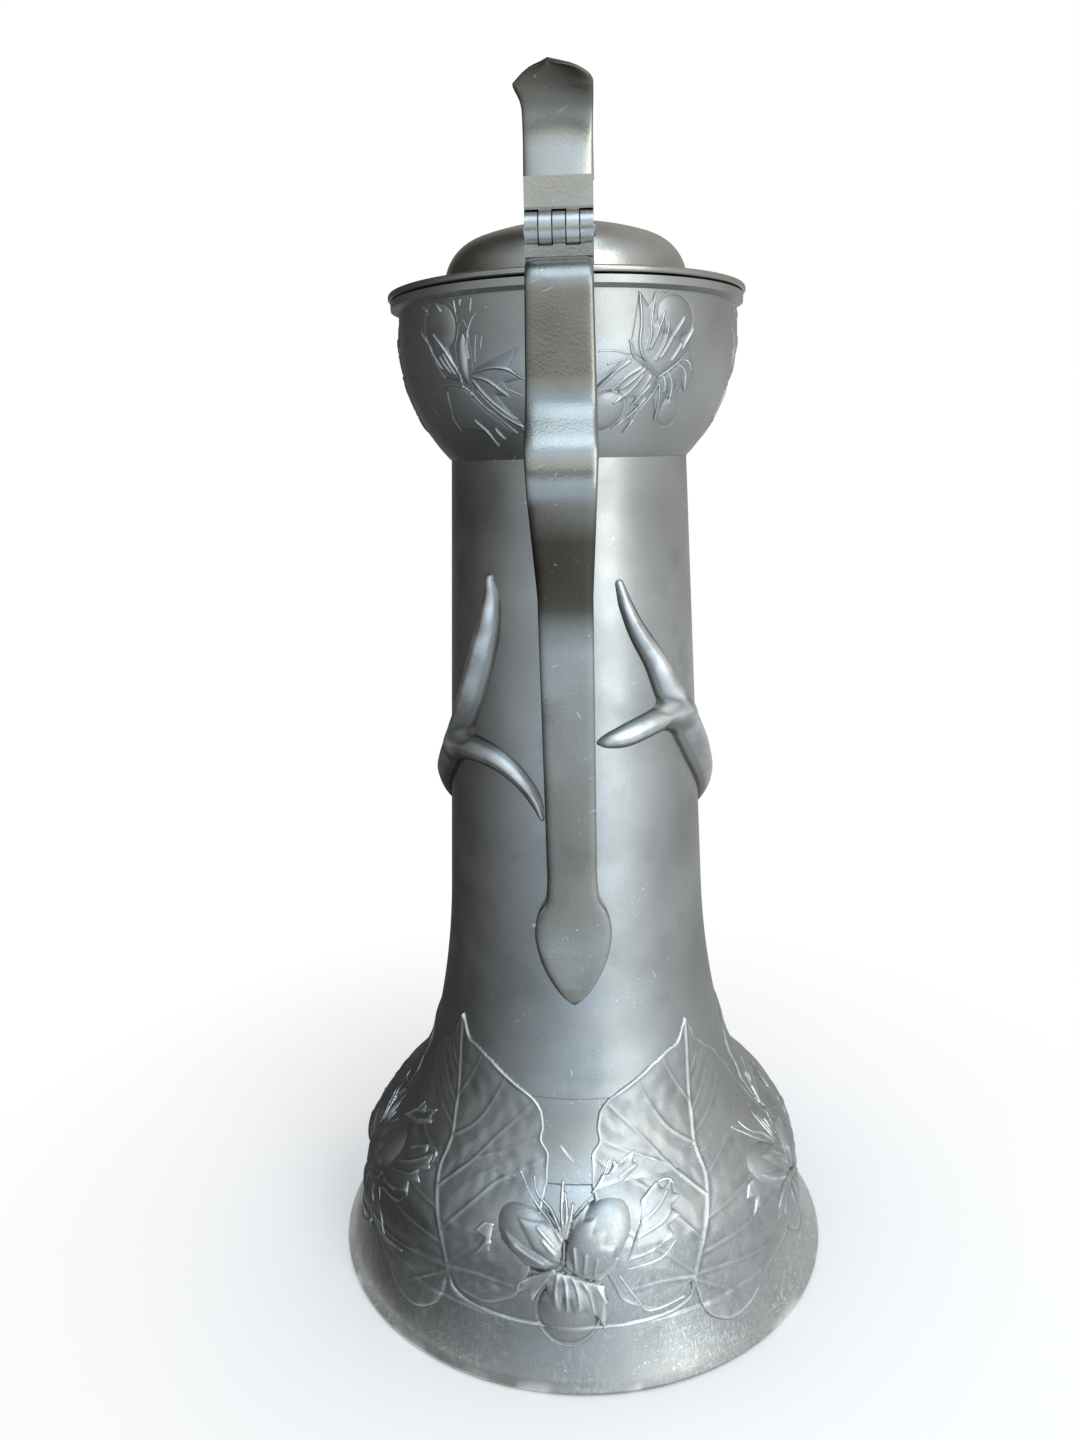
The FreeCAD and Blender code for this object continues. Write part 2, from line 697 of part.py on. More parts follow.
lid_radius = lip_radius + size("lid_overhang")
dome_radius = lid_radius - size("dome_inset")
lid_bottom = rim_height + size("lid_gap")
lid_edge_top = lid_bottom + size("lid_edge")
dome_foot_height = lid_edge_top + size("lid_slope")
dome_turn_height = dome_foot_height + size("dome_side")
dome_foot = (dome_radius, dome_foot_height)
dome_turn = (dome_radius - size("dome_turn_inset"), dome_turn_height)
dome_top = (0, dome_turn_height + size("crown_rise"))
dome_line = [
    (dome_foot,),
    arc_to(dome_foot, dome_turn, size("dome_side_bulge")),
    crown_to(dome_turn, dome_top),
]
dome_inside = shell(dome_line, size("lid_wall"))[len(dome_line):]
lid_outside = [((lid_radius, lid_bottom),), ((lid_radius, lid_edge_top),)] + dome_line
dome_mouth = dome_inside[-1][0][0]
lid_disc = turned("lid_disc", lid_outside + dome_inside + [((dome_mouth, lid_bottom),)])
lid_form = turned("lid_form", lid_outside + [((0, lid_bottom),)])

beak_disc = doc.addObject("Part::Cylinder", "beak_disc")
bind(beak_disc, "Radius", spout_radius + size("lid_overhang"))
bind(beak_disc, "Height", size("lid_edge"))
bind(beak_disc, "Placement.Base.y", -spout_reach)
bind(beak_disc, "Placement.Base.z", lid_bottom)
beak = cut("beak", beak_disc, lid_form)
lid = joined("lid", [lid_disc, beak])

# Hinge: five knuckles, the first, third and fifth fixed, the others on the lid's leaf.

hinge_width = size("hinge_width")
barrel_radius = size("barrel_radius")
hinge_y = lid_radius + size("hinge_back")
hinge_z = lid_edge_top + size("barrel_lift") + barrel_radius
knuckle_count = 5
knuckle_pitch = hinge_width / knuckle_count
hinge_start = -(hinge_width / 2)
bar_front = lid_radius + running_gap * 2
bar_top = hinge_z - barrel_radius + running_gap * 2
bar_bottom = bar_top - size("bar_height")


def knuckles(name, fixed, radius, widen):
    """The fixed or the moving knuckles, each wider by the given length at the faces between knuckles."""
    rods = []
    for index in range(0 if fixed else 1, knuckle_count, 2):
        start = hinge_start + knuckle_pitch * index
        length = knuckle_pitch
        if index > 0:
            start = start - widen
            length = length + widen
        if index + 1 < knuckle_count:
            length = length + widen
        rods.append(cylinder_along_x(f"{name}_{index + 1}", radius, start, length))
    return rods


half_gap = running_gap / 2
fixed_knuckles = knuckles("fixed_knuckle", True, barrel_radius, -half_gap)
moving_knuckles = knuckles("moving_knuckle", False, barrel_radius, -half_gap)
clear_radius = barrel_radius + running_gap
fixed_space = joined("fixed_space", knuckles("space_for_fixed", True, clear_radius, half_gap))
moving_space = joined("moving_space", knuckles("space_for_moving", False, clear_radius, half_gap))

bar = box(
    "bar",
    (hinge_start, bar_front, bar_bottom),
    (hinge_width, size("bar_depth"), size("bar_height")),
)
webs = []
for index in range(0, knuckle_count, 2):
    web_start = hinge_start + knuckle_pitch * index
    web_length = knuckle_pitch - half_gap
    if index > 0:
        web_start = web_start + half_gap
        web_length = web_length - (half_gap if index + 1 < knuckle_count else 0)
    webs.append(
        box(
            f"web_{index + 1}",
            (web_start, hinge_y - size("web_depth") / 2, bar_top),
            (web_length, size("web_depth"), hinge_z - bar_top),
        )
    )
block_solid = joined("block_solid", [bar] + webs + fixed_knuckles)
block_cleared = cut("block_cleared", block_solid, moving_space)
pin_radius = size("pin_radius")
pin_head = size("pin_head")
pin_start = hinge_start - pin_head
pin_length = hinge_width + pin_head * 2
block_bore = cylinder_along_x("block_bore", pin_radius, pin_start, pin_length)
hinge_block = cut("hinge_block", block_cleared, block_bore)
hinge_pin = cylinder_along_x("hinge_pin", pin_radius, pin_start, pin_length)

leaf_thickness = size("leaf_thickness")
leaf_front = dome_radius - leaf_thickness
leaf_back = lid_radius - running_gap
leaf_top = dome_foot_height + leaf_thickness
riser_top = hinge_z + size("riser_height")
riser_front = hinge_y - size("riser_front")
riser_back = hinge_y + size("riser_back")
barrel_front = hinge_y - clear_radius - size("riser_wall")
leaf_side = [
    ((leaf_front, lid_edge_top),),
    ((leaf_back, lid_edge_top),),
    ((leaf_back, hinge_z),),
    ((hinge_y, hinge_z),),
    ((riser_back, hinge_z + barrel_radius),),
    ((riser_back, riser_top),),
    ((riser_front, riser_top),),
    ((barrel_front, hinge_z + barrel_radius),),
    ((barrel_front - leaf_thickness, leaf_top),),
    ((leaf_front, leaf_top),),
]
leaf_sketch = draw(free_sketch("leaf_side", "YZ"), leaf_side)
leaf_blank = extruded("leaf_blank", leaf_sketch, hinge_width)
leaf_cleared = cut("leaf_cleared", leaf_blank, fixed_space)
leaf_seated = cut("leaf_seated", leaf_cleared, lid_form)
leaf_solid = joined("leaf_solid", [leaf_seated] + moving_knuckles)
leaf_bore = cylinder_along_x("leaf_bore", pin_radius + size("pin_play"), pin_start, pin_length)
lid_hinge_leaf = cut("lid_hinge_leaf", leaf_solid, leaf_bore)

# Thumbpiece: a scooped plate, swept along its side view and trimmed to its front view.

thumb_thickness = size("thumb_thickness")
thumb_root = (riser_front + riser_back) / 2
thumb_top = riser_top + size("thumb_height")
thumb_path = draw_path(
    free_sketch("thumb_path", "YZ"),
    [
        ((thumb_root, riser_top),),
        ((thumb_root - size("thumb_lean"), riser_top + size("thumb_lean_height")), size("thumb_bend")),
        ((thumb_root + size("thumb_back"), thumb_top),),
    ],
)


def strap_section(name, plane, middle, width, thickness, offset):
    """A rectangle across a strap, centred on its path's start."""
    half = width / 2
    near = middle - thickness / 2
    far = middle + thickness / 2
    corners = [((-half, near),), ((half, near),), ((half, far),), ((-half, far),)]
    return draw(free_sketch(name, plane, offset), corners)


thumb_section = strap_section(
    "thumb_section", "XY", thumb_root, size("thumb_top_width"), thumb_thickness, riser_top
)
thumb_strap = swept("thumb_strap", thumb_section, thumb_path)
thumb_corner = (size("thumb_top_width") / 2, thumb_top - size("thumb_arch"))
thumb_foot = (size("thumb_root_width") / 2, riser_top)
thumb_outline = mirrored(
    [
        (thumb_foot,),
        arc_to(thumb_foot, thumb_corner, -size("thumb_hollow")),
        arc_to(thumb_corner, (0, thumb_top), size("thumb_arch_bulge")),
    ]
)
thumb_view = draw(free_sketch("thumb_view", "XZ"), thumb_outline)
thumb_block = extruded("thumb_block", thumb_view, hinge_y * 4)
thumbpiece = common("thumbpiece", thumb_strap, thumb_block)

# Handle: a swept strap that leaves the collar level under the hinge, trimmed to its view from behind.

strap_thickness = size("strap_thickness")
strap_width = size("strap_width")
stem_width = size("stem_width")
spade_width = size("spade_width")
strap_start = lip_radius - overrun
strap_level = bar_bottom - strap_thickness / 2
waist_reach = lip_radius + size("waist_reach")
waist_height = rim_height - size("waist_drop")
bulge_reach = waist_reach + size("bulge_reach")
bulge_height = waist_height - size("bulge_drop")
stem_top_height = bulge_height - size("stem_drop")
spade_tip_height = skirt_top_height + size("spade_tip_rise")
spade_height = spade_tip_height + size("spade_length")
handle_path = draw_path(
    free_sketch("handle_path", "YZ"),
    [
        ((strap_start, strap_level),),
        ((lip_radius + size("shoulder_reach"), strap_level), size("shoulder_bend")),
        ((waist_reach, waist_height), size("waist_bend")),
        ((bulge_reach, bulge_height), size("bulge_bend")),
        ((bulge_reach - size("stem_inset"), stem_top_height), size("stem_bend")),
        ((taper_radius + size("landing_gap"), skirt_top_height + size("landing_rise")), size("landing_bend")),
        ((taper_radius + size("spade_flare"), spade_tip_height - overrun),),
    ],
)
handle_section = strap_section(
    "handle_section", "XZ", strap_level, spade_width, strap_thickness, strap_start
)
handle_strap = swept("handle_strap", handle_section, handle_path)
spade_tip = (0, spade_tip_height)
spade_side = (spade_width / 2, spade_height)
spade_neck = (stem_width / 2, spade_height + size("spade_shoulder"))
handle_outline = mirrored(
    [
        (spade_tip,),
        arc_to(spade_tip, spade_side, size("spade_bulge")),
        arc_to(spade_side, spade_neck, -size("spade_hollow")),
        ((stem_width / 2, stem_top_height),),
        ((strap_width / 2, bulge_height + strap_thickness),),
        ((size("head_width") / 2, bar_bottom),),
        ((size("head_width") / 2, bar_bottom + overrun),),
    ]
)
handle_view = draw(free_sketch("handle_view", "XZ"), handle_outline)
handle_block = extruded("handle_block", handle_view, hinge_y * 4)
handle_blank = common("handle_blank", handle_strap, handle_block)
lid_space = doc.addObject("Part::Cylinder", "lid_space")
bind(lid_space, "Radius", bar_front)
bind(lid_space, "Height", overrun)
bind(lid_space, "Placement.Base.z", rim_height)
handle_notched = cut("handle_notched", handle_blank, lid_space)
handle = cut("handle", handle_notched, jug_form)

# Antlers: limbs that lie on the neck. A limb is a row of stations along its middle line: degrees round the
# neck from the handle toward the right, height as a share of the neck's length, and girth as a share of the
# thickest limb. They are free forms on a curved wall, so they are lofted through circles across each limb.

RIGHT_BEAM_SHARES = [
    (23.0, 0.815, 0.12),
    (26.5, 0.777, 0.34),
    (32.5, 0.735, 0.52),
    (40.5, 0.693, 0.70),
    (49.5, 0.648, 0.84),
    (59.5, 0.602, 0.94),
    (70.0, 0.549, 1.00),
    (80.0, 0.502, 0.98),
    (91.0, 0.460, 0.96),
    (106.0, 0.420, 0.95),
    (126.0, 0.375, 0.95),
    (148.0, 0.326, 0.97),
    (163.0, 0.286, 1.06),
]
RIGHT_TINE_SHARES = [
    (12.3, 0.576, 0.14),
    (17.0, 0.578, 0.40),
    (24.0, 0.583, 0.58),
    (33.0, 0.592, 0.65),
    (43.0, 0.601, 0.69),
    (56.0, 0.606, 0.76),
]
LEFT_BEAM_SHARES = [
    (-37.6, 0.823, 0.14),
    (-36.6, 0.792, 0.44),
    (-39.2, 0.744, 0.66),
    (-43.4, 0.696, 0.78),
    (-48.8, 0.647, 0.86),
    (-56.5, 0.594, 0.92),
    (-67.0, 0.540, 0.96),
    (-79.0, 0.500, 0.93),
    (-91.0, 0.466, 0.92),
    (-106.0, 0.426, 0.93),
    (-126.0, 0.378, 0.95),
    (-148.0, 0.326, 0.97),
    (-163.0, 0.286, 1.06),
]
LEFT_TINE_SHARES = [
    (-12.6, 0.456, 0.14),
    (-15.0, 0.482, 0.34),
    (-19.6, 0.506, 0.44),
    (-27.0, 0.530, 0.56),
    (-36.0, 0.546, 0.65),
    (-47.0, 0.553, 0.72),
    (-60.0, 0.552, 0.78),
]
SINK_SHARE = 0.2

beam_radius = size("beam_radius")


def limb(stations):
    """A tapering limb through circles that stand across its middle line."""
    middles = []
    radii = []
    for degrees, height_share, girth_share in stations:
        height = skirt_top_height.value + height_share * (neck_top_height.value - skirt_top_height.value)
        radius = girth_share * beam_radius.value
        reach = wall_radius(neck_line, height) - SINK_SHARE * radius
        turn = math.radians(degrees)
        middles.append(Vector(-reach * math.sin(turn), reach * math.cos(turn), height))
        radii.append(radius)
    line = Part.BSplineCurve()
    line.interpolate(middles)
    rings = []
    for middle, radius in zip(middles, radii):
        along = line.tangent(line.parameter(middle))[0]
        rings.append(Part.Wire(Part.Circle(middle, along, radius).toShape()))
    return Part.makeLoft(rings, True)


def antler(name, beam, tine):
    piece = doc.addObject("Part::Feature", name)
    piece.Shape = limb(beam).fuse(limb(tine)).cut(jug_form.Shape).removeSplitter()
    return piece


doc.recompute()
antler_left = antler("antler_left", LEFT_BEAM_SHARES, LEFT_TINE_SHARES)
antler_right = antler("antler_right", RIGHT_BEAM_SHARES, RIGHT_TINE_SHARES)
doc.recompute()

pieces = [
    bell_foot,
    bottom_disc,
    neck,
    collar,
    pouring_lip,
    lid,
    lid_hinge_leaf,
    thumbpiece,
    hinge_block,
    hinge_pin,
    handle,
    antler_left,
    antler_right,
]

for item in doc.Objects:
    if "Invalid" in item.State or "Error" in item.State:
        raise RuntimeError(f"{item.Name} did not build: {item.State}")

os.makedirs("parts", exist_ok=True)
for piece in pieces:
    if piece.Shape.isNull() or not piece.Shape.isValid():
        raise RuntimeError(f"{piece.Label} has no valid shape")
    if len(piece.Shape.Solids) != 1:
        raise RuntimeError(f"{piece.Label} is {len(piece.Shape.Solids)} solids")
    piece.Shape.exportStep(f"parts/{piece.Label}.step")
    print(piece.Label, round(piece.Shape.Volume), piece.Shape.BoundBox)
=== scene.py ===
import json
import math

import bmesh
import bpy
import numpy as np
from mathutils import Matrix, Vector


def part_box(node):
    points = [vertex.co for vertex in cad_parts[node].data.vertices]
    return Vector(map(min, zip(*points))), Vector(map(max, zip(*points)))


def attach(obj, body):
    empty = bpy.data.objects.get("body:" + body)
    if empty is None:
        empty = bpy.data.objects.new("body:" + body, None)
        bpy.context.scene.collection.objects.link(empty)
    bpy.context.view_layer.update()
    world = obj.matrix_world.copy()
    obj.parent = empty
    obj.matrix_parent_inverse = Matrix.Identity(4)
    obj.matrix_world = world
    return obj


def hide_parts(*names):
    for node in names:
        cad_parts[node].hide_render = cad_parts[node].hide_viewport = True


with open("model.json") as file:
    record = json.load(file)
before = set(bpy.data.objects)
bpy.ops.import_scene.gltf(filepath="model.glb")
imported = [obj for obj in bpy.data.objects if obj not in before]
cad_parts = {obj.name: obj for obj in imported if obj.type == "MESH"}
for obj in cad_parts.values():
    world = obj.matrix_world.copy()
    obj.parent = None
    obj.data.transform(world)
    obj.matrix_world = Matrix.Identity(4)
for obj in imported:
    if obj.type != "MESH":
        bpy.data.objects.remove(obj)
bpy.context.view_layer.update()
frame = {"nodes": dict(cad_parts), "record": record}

scene = bpy.context.scene
MM = 0.001

# Camera: behind the jug, at the height of the collar, looking down a little.

IMAGE_HEIGHT = 1440
FOCAL_PIXELS = 1090
SENSOR = 36
CAMERA_BACK, CAMERA_UP = 0.33186, 0.25447
PITCH, YAW, ROLL = 0.235, -0.03122, -0.02457
HANDLE_SIDE = math.radians(1.3)


def add_camera():
    turn = Matrix.Rotation(math.pi + HANDLE_SIDE, 3, "Z")
    right = Vector((math.cos(YAW), -math.sin(YAW), 0))
    level = Vector((math.sin(YAW), math.cos(YAW), 0))
    forward = level * math.cos(PITCH) - Vector((0, 0, math.sin(PITCH)))
    up = right.cross(forward)
    across = right * math.cos(ROLL) + up * math.sin(ROLL)
    upward = up * math.cos(ROLL) - right * math.sin(ROLL)
    axes = Matrix((turn @ across, turn @ upward, turn @ -forward)).transposed()
    data = bpy.data.cameras.new("camera")
    data.sensor_fit = "VERTICAL"
    data.sensor_height = SENSOR
    data.lens = SENSOR * FOCAL_PIXELS / IMAGE_HEIGHT
    data.clip_start = 0.01
    camera = bpy.data.objects.new("camera", data)
    camera.matrix_world = Matrix.Translation(turn @ Vector((0, -CAMERA_BACK, CAMERA_UP))) @ axes.to_4x4()
    scene.collection.objects.link(camera)
    scene.camera = camera


add_camera()
scene.view_settings.view_transform = "Standard"

# Sizes in millimetres. The frame gives the ends of each turned wall, the rest are radius and height.


def extent(node):
    return [np.array(corner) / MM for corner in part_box(node)]


foot_high = extent("bell_foot")[1]
neck_low, neck_high = extent("neck")
collar_high = extent("collar")[1]
lid_low, lid_high = extent("lid")
thumb_low, thumb_high = extent("thumbpiece")
handle_low, handle_high = extent("handle")

FOOT_RADIUS = foot_high[0]
FLANGE_TOP = (73.6, 16.5)
BELL_BASE = (73.0, 17.1)
SHOULDER = (68.9, 38.5)
SEAM = (neck_high[0], neck_low[2])
SEAM_STEP = 0.4
LINE_RISE = 0.2
SKIRT_TOP = (47.5, 72.0)
TAPER_FOOT = (40.1, 122.0)
NECK_TOP = (34.5, neck_high[2])
BELLY = (47.8, 286.0)
CUP_TOP = (BELLY[0], 294.5)
FLANGE_BULGE = -0.5
BELL_BULGE, SHOULDER_BULGE = 0.5, 0.9
SKIRT_BULGE, FLARE_BULGE = -1.3, -1.28
CUP_BULGE = 3.2
LIP_RADIUS = collar_high[0]
WALL = 2.0
FOOT_EDGE = 1.2
FOOT_RING_WIDTH = 3.0
DISC_TOP = 6.8
DISC_RISE = 4.6

# Outlines


def arc(start, end, bulge, steps=12):
    """Points after the start of an arc that stands off its chord by the bulge, to the right of it."""
    start, end = np.array(start, float), np.array(end, float)
    run = end - start
    right = np.array((run[1], -run[0])) / np.hypot(*run)
    radius = (run @ run / 4 + bulge**2) / (2 * bulge)
    centre = (start + end) / 2 + right * (bulge - radius)
    first = math.atan2(*(start - centre)[::-1])
    sweep = math.atan2(*(end - centre)[::-1]) - first
    sweep = (sweep + math.pi) % (2 * math.pi) - math.pi
    angles = first + sweep * np.arange(1, steps + 1) / steps
    return [tuple(centre + abs(radius) * np.array((math.cos(a), math.sin(a)))) for a in angles]


def smooth_line(corners, steps=10, closed=False):
    """A curve through the corners."""
    points = np.array(corners, float)
    if closed:
        padded = np.vstack([points[-1], points, points[0], points[1]])
    else:
        padded = np.vstack([2 * points[0] - points[1], points, 2 * points[-1] - points[-2]])
    share = np.linspace(0, 1, steps, endpoint=False)[:, None]
    runs = []
    for before, start, end, after in zip(padded, padded[1:], padded[2:], padded[3:]):
        first, last = (end - before) / 2, (after - start) / 2
        runs.append(
            start * (2 * share**3 - 3 * share**2 + 1)
            + first * (share**3 - 2 * share**2 + share)
            + end * (3 * share**2 - 2 * share**3)
            + last * (share**3 - share**2)
        )
    if not closed:
        runs.append(points[-1:])
    return np.vstack(runs)


def lengths_along(line):
    """The length along a line up to each of its points."""
    return np.concatenate([[0], np.cumsum(np.linalg.norm(np.diff(line, axis=0), axis=1))])


def mean_kernel(reach):
    return np.ones(2 * reach + 1) / (2 * reach + 1)


def around(turn, radius, height):
    """Points at a turn from the handle toward -X, a radius from the upright axis and a height."""
    return np.stack(np.broadcast_arrays(-radius * np.sin(turn), radius * np.cos(turn), height), axis=-1)


flange_line = [(FOOT_RADIUS, FOOT_EDGE)] + arc((FOOT_RADIUS, FOOT_EDGE), FLANGE_TOP, FLANGE_BULGE)
bell_line = [BELL_BASE] + arc(BELL_BASE, SHOULDER, BELL_BULGE) + arc(SHOULDER, SEAM, SHOULDER_BULGE)
flare_line = arc(SKIRT_TOP, TAPER_FOOT, FLARE_BULGE, 20)
neck_line = [SEAM] + arc(SEAM, SKIRT_TOP, SKIRT_BULGE) + flare_line + [NECK_TOP]
collar_line = [NECK_TOP] + arc(NECK_TOP, BELLY, CUP_BULGE, 20) + [CUP_TOP]


class Wall:
    """The outer line of a turned wall, which relief is laid on."""

    STEP = 0.25
    SMOOTHING = 2.5

    def __init__(self, line):
        line = np.array(line)
        ends = lengths_along(line)
        self.along = np.arange(0, ends[-1], self.STEP)
        self.radius = np.interp(self.along, ends, line[:, 0])
        self.height = np.interp(self.along, ends, line[:, 1])
        reach = int(self.SMOOTHING / self.STEP)
        slope = []
        for line in (self.radius, self.height):
            padded = np.pad(line, reach, "reflect", reflect_type="odd")
            slope.append(np.gradient(np.convolve(padded, mean_kernel(reach), "valid")))
        length = np.hypot(*slope)
        self.out = slope[1] / length
        self.up = -slope[0] / length

    def along_at(self, height):
        return np.interp(height, self.height, self.along)

    def points(self, turn, along, lift=0):
        """Points at a turn, a length up the wall and a lift off it."""
        radius = np.interp(along, self.along, self.radius) + lift * np.interp(along, self.along, self.out)
        height = np.interp(along, self.along, self.height) + lift * np.interp(along, self.along, self.up)
        return around(turn, radius, height)


foot_wall = Wall(flange_line + bell_line + neck_line[1:])
neck_wall = Wall(neck_line)
collar_wall = Wall(collar_line)

# Pieces


def add_piece(name, points, faces, body, slot, smooth_angle=180, replaces=None):
    mesh = bpy.data.meshes.new(name)
    mesh.from_pydata((np.asarray(points) * MM).tolist(), [], [list(face) for face in faces])
    mesh.shade_smooth()
    if smooth_angle < 180:
        mesh.set_sharp_from_angle(angle=math.radians(smooth_angle))
    piece = bpy.data.objects.new(name, mesh)
    scene.collection.objects.link(piece)
    mesh.materials.append(materials[slot])
    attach(piece, body)
    if replaces:
        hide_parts(replaces)
    return piece


def grid_faces(rows, columns, wrap_rows=False, wrap_columns=False):
    """Quads of a grid of points, turned outward for a grid that rises while it runs to the left."""
    row = np.arange(rows if wrap_rows else rows - 1)[:, None]
    column = np.arange(columns if wrap_columns else columns - 1)[None, :]
    above, beside = (row + 1) % rows, (column + 1) % columns
    corners = [(row, column), (above, column), (above, beside), (row, beside)]
    numbers = [np.broadcast_to(r * columns + c, (row.size, column.size)) for r, c in corners]
    return np.stack(numbers, axis=-1).reshape(-1, 4)


def paint(piece, label, values):
    """Give each point of a piece a value that its material reads."""
    attribute = piece.data.attributes.new(label, "FLOAT", "POINT")
    attribute.data.foreach_set("value", values.astype(np.float32))


def bevelled(piece, width, angle):
    bevel = piece.modifiers.new("edges", "BEVEL")
    bevel.width = width * MM
    bevel.segments = 2
    bevel.limit_method = "ANGLE"
    bevel.angle_limit = math.radians(angle)
    bevel.harden_normals = True


def weld(piece):
    """Join the points of a turned piece that meet on its axis."""
    mesh = bmesh.new()
    mesh.from_mesh(piece.data)
    bmesh.ops.remove_doubles(mesh, verts=mesh.verts, dist=0.0001 * MM)
    mesh.to_mesh(piece.data)
    mesh.free()


LATHE_STEPS = 240


def lathe(outline, steps=LATHE_STEPS, reach=np.zeros_like):
    """Points and faces of a closed outline, in radius and height, turned about the upright axis.

    Reach tells how much further out it runs at a turn.
    """
    outline = np.array(outline)
    turn = np.linspace(0, 2 * math.pi, steps, endpoint=False)
    points = around(turn, outline[:, :1] + reach(turn), outline[:, 1:])
    return points.reshape(-1, 3), grid_faces(len(outline), steps, True, True)[:, ::-1]


def soften(field, reach):
    """A field with each value replaced by the mean of its neighbourhood."""
    for axis in (0, 1, 0, 1):
        padded = np.pad(field, [(reach, reach) if a == axis else (0, 0) for a in (0, 1)], "edge")
        field = np.apply_along_axis(np.convolve, axis, padded, mean_kernel(reach), "valid")
    return field


# Relief: lifts off a wall in millimetres, how ridges wear bright, and the painted shade that darkens the
# hollows.

SUNK = -0.5
BACK_DEPTH = -1.1
LEAST_LIFT = 0.02
RELIEF_STEP = 0.4
PINCH_ROUNDS = 3
WEAR_REACH = 4
FULL_WEAR_HEIGHT = 0.35
LINE_STEP = 0.3
RIPPLE_WAVES = 24
BLOCK = 4000


def fill_pinches(keep):
    """Keep all four cells where two kept cells meet only at a corner."""
    four = [keep[:-1, :-1], keep[:-1, 1:], keep[1:, 1:], keep[1:, :-1]]
    falling, rising = four[0] & four[2], four[1] & four[3]
    pinched = (falling & ~four[1] & ~four[3]) | (rising & ~four[0] & ~four[2])
    for cells in four:
        cells |= pinched


def relief(name, wall, turns, alongs, lift, turn_by=0, mirror=False, replaces=None, least_shade=0.0):
    """A closed piece laid on a wall: its front stands off by the lift and its back lies in the wall.

    The last argument is the least painted shade on it, from 0 to 1.
    """
    keep = np.maximum.reduce([lift[:-1, :-1], lift[1:, :-1], lift[:-1, 1:], lift[1:, 1:]]) > SUNK + LEAST_LIFT
    for _ in range(PINCH_ROUNDS):
        fill_pinches(keep)
    cells = grid_faces(*lift.shape).reshape(keep.shape + (4,))[keep]
    used, cells = np.unique(cells, return_inverse=True)
    cells = cells.reshape(-1, 4)
    turn, along, front = (field.ravel()[used] for field in (turns, alongs, lift))
    if mirror:
        turn = -turn
    else:
        cells = cells[:, ::-1]
    turn = turn + turn_by
    back = np.full(front.shape, BACK_DEPTH)
    points = np.vstack([wall.points(turn, along, depth) for depth in (front, back)])
    edges = np.stack([cells, np.roll(cells, -1, axis=1)], axis=-1).reshape(-1, 2)
    keys = edges[:, 0] * len(used) + edges[:, 1]
    border = edges[~np.isin(keys, edges[:, 1] * len(used) + edges[:, 0])]
    sides = np.hstack([border[:, ::-1], border + len(used)])
    faces = np.vstack([cells, cells[:, ::-1] + len(used), sides])
    piece = add_piece(name, points, faces, "jug", "ornament_pewter", replaces=replaces)
    mean = soften(np.maximum(lift, 0), WEAR_REACH).ravel()[used]
    height = np.maximum(front, 0) - mean
    # Wear brightens what stands above its neighbourhood; painted shade darkens what lies below it.
    for label, value, least in (("wear", height, 0), ("painted_shade", -height, least_shade)):
        shade = np.clip(value / FULL_WEAR_HEIGHT, least, 1)
        paint(piece, label, np.concatenate([shade, np.zeros(len(used))]))


def nearest(points, line):
    """Distance from each point to a dense line, and the number of the nearest point of the line."""
    distance, number = [], []
    for block in np.array_split(points, max(1, len(points) // BLOCK)):
        square = (block**2).sum(1)[:, None] + (line**2).sum(1)[None, :] - 2 * block @ line.T
        number.append(square.argmin(1))
        distance.append(np.sqrt(np.maximum(square.min(1), 0)))
    return np.concatenate(distance), np.concatenate(number)


def inside(points, outline):
    """Which points of a plane lie in a closed outline."""
    result = np.zeros(len(points), bool)
    for (x0, y0), (x1, y1) in zip(outline, np.roll(outline, -1, axis=0)):
        crosses = (y0 > points[:, 1]) != (y1 > points[:, 1])
        slant = (x1 - x0) * (points[:, 1] - y0) / (y1 - y0 if y1 != y0 else 1) + x0
        result ^= crosses & (points[:, 0] < slant)
    return result


def dense(line):
    """A line cut into short steps, with the share of its length at each."""
    ends = lengths_along(line)
    places = np.linspace(0, ends[-1], int(ends[-1] / LINE_STEP) + 2)
    return np.stack([np.interp(places, ends, column) for column in line.T], axis=1), places / ends[-1]


def ripple(x, y, seed, size):
    """Soft uneven waves about as long as the size, between about -1 and 1."""
    random = np.random.default_rng(seed)
    total = np.zeros(np.shape(x))
    for _ in range(RIPPLE_WAVES):
        heading, phase = random.uniform(0, 2 * math.pi, 2)
        pace = 2 * math.pi / (size * random.uniform(0.7, 1.6))
        total += np.sin(pace * (x * math.cos(heading) + y * math.sin(heading)) + phase)
    return total / math.sqrt(RIPPLE_WAVES)


def wall_grid(wall, degrees, heights, step=RELIEF_STEP):
    """Grids of turns and of lengths up a wall that cover a patch of it about every step."""
    low, high = wall.along_at(heights[0]), wall.along_at(heights[1])
    alongs = np.linspace(low, high, int((high - low) / step) + 2)
    middle = np.interp((low + high) / 2, wall.along, wall.radius)
    span = math.radians(degrees[1] - degrees[0])
    turns = np.linspace(math.radians(degrees[0]), math.radians(degrees[1]), int(span * middle / step) + 2)
    return np.meshgrid(turns, alongs)


def on_wall(wall, corners):
    """Corners given in degrees and height, as turns and lengths up the wall."""
    corners = np.array(corners, float)
    return np.stack([np.radians(corners[:, 0]), wall.along_at(corners[:, 1])], axis=1)


def drawn_line(wall, corners):
    """A curve on a wall through corners in degrees and height, in short steps, with the share at each."""
    return dense(wall.points(*smooth_line(on_wall(wall, corners)).T))


# Leaves of the foot, drawn in degrees from the handle and height.

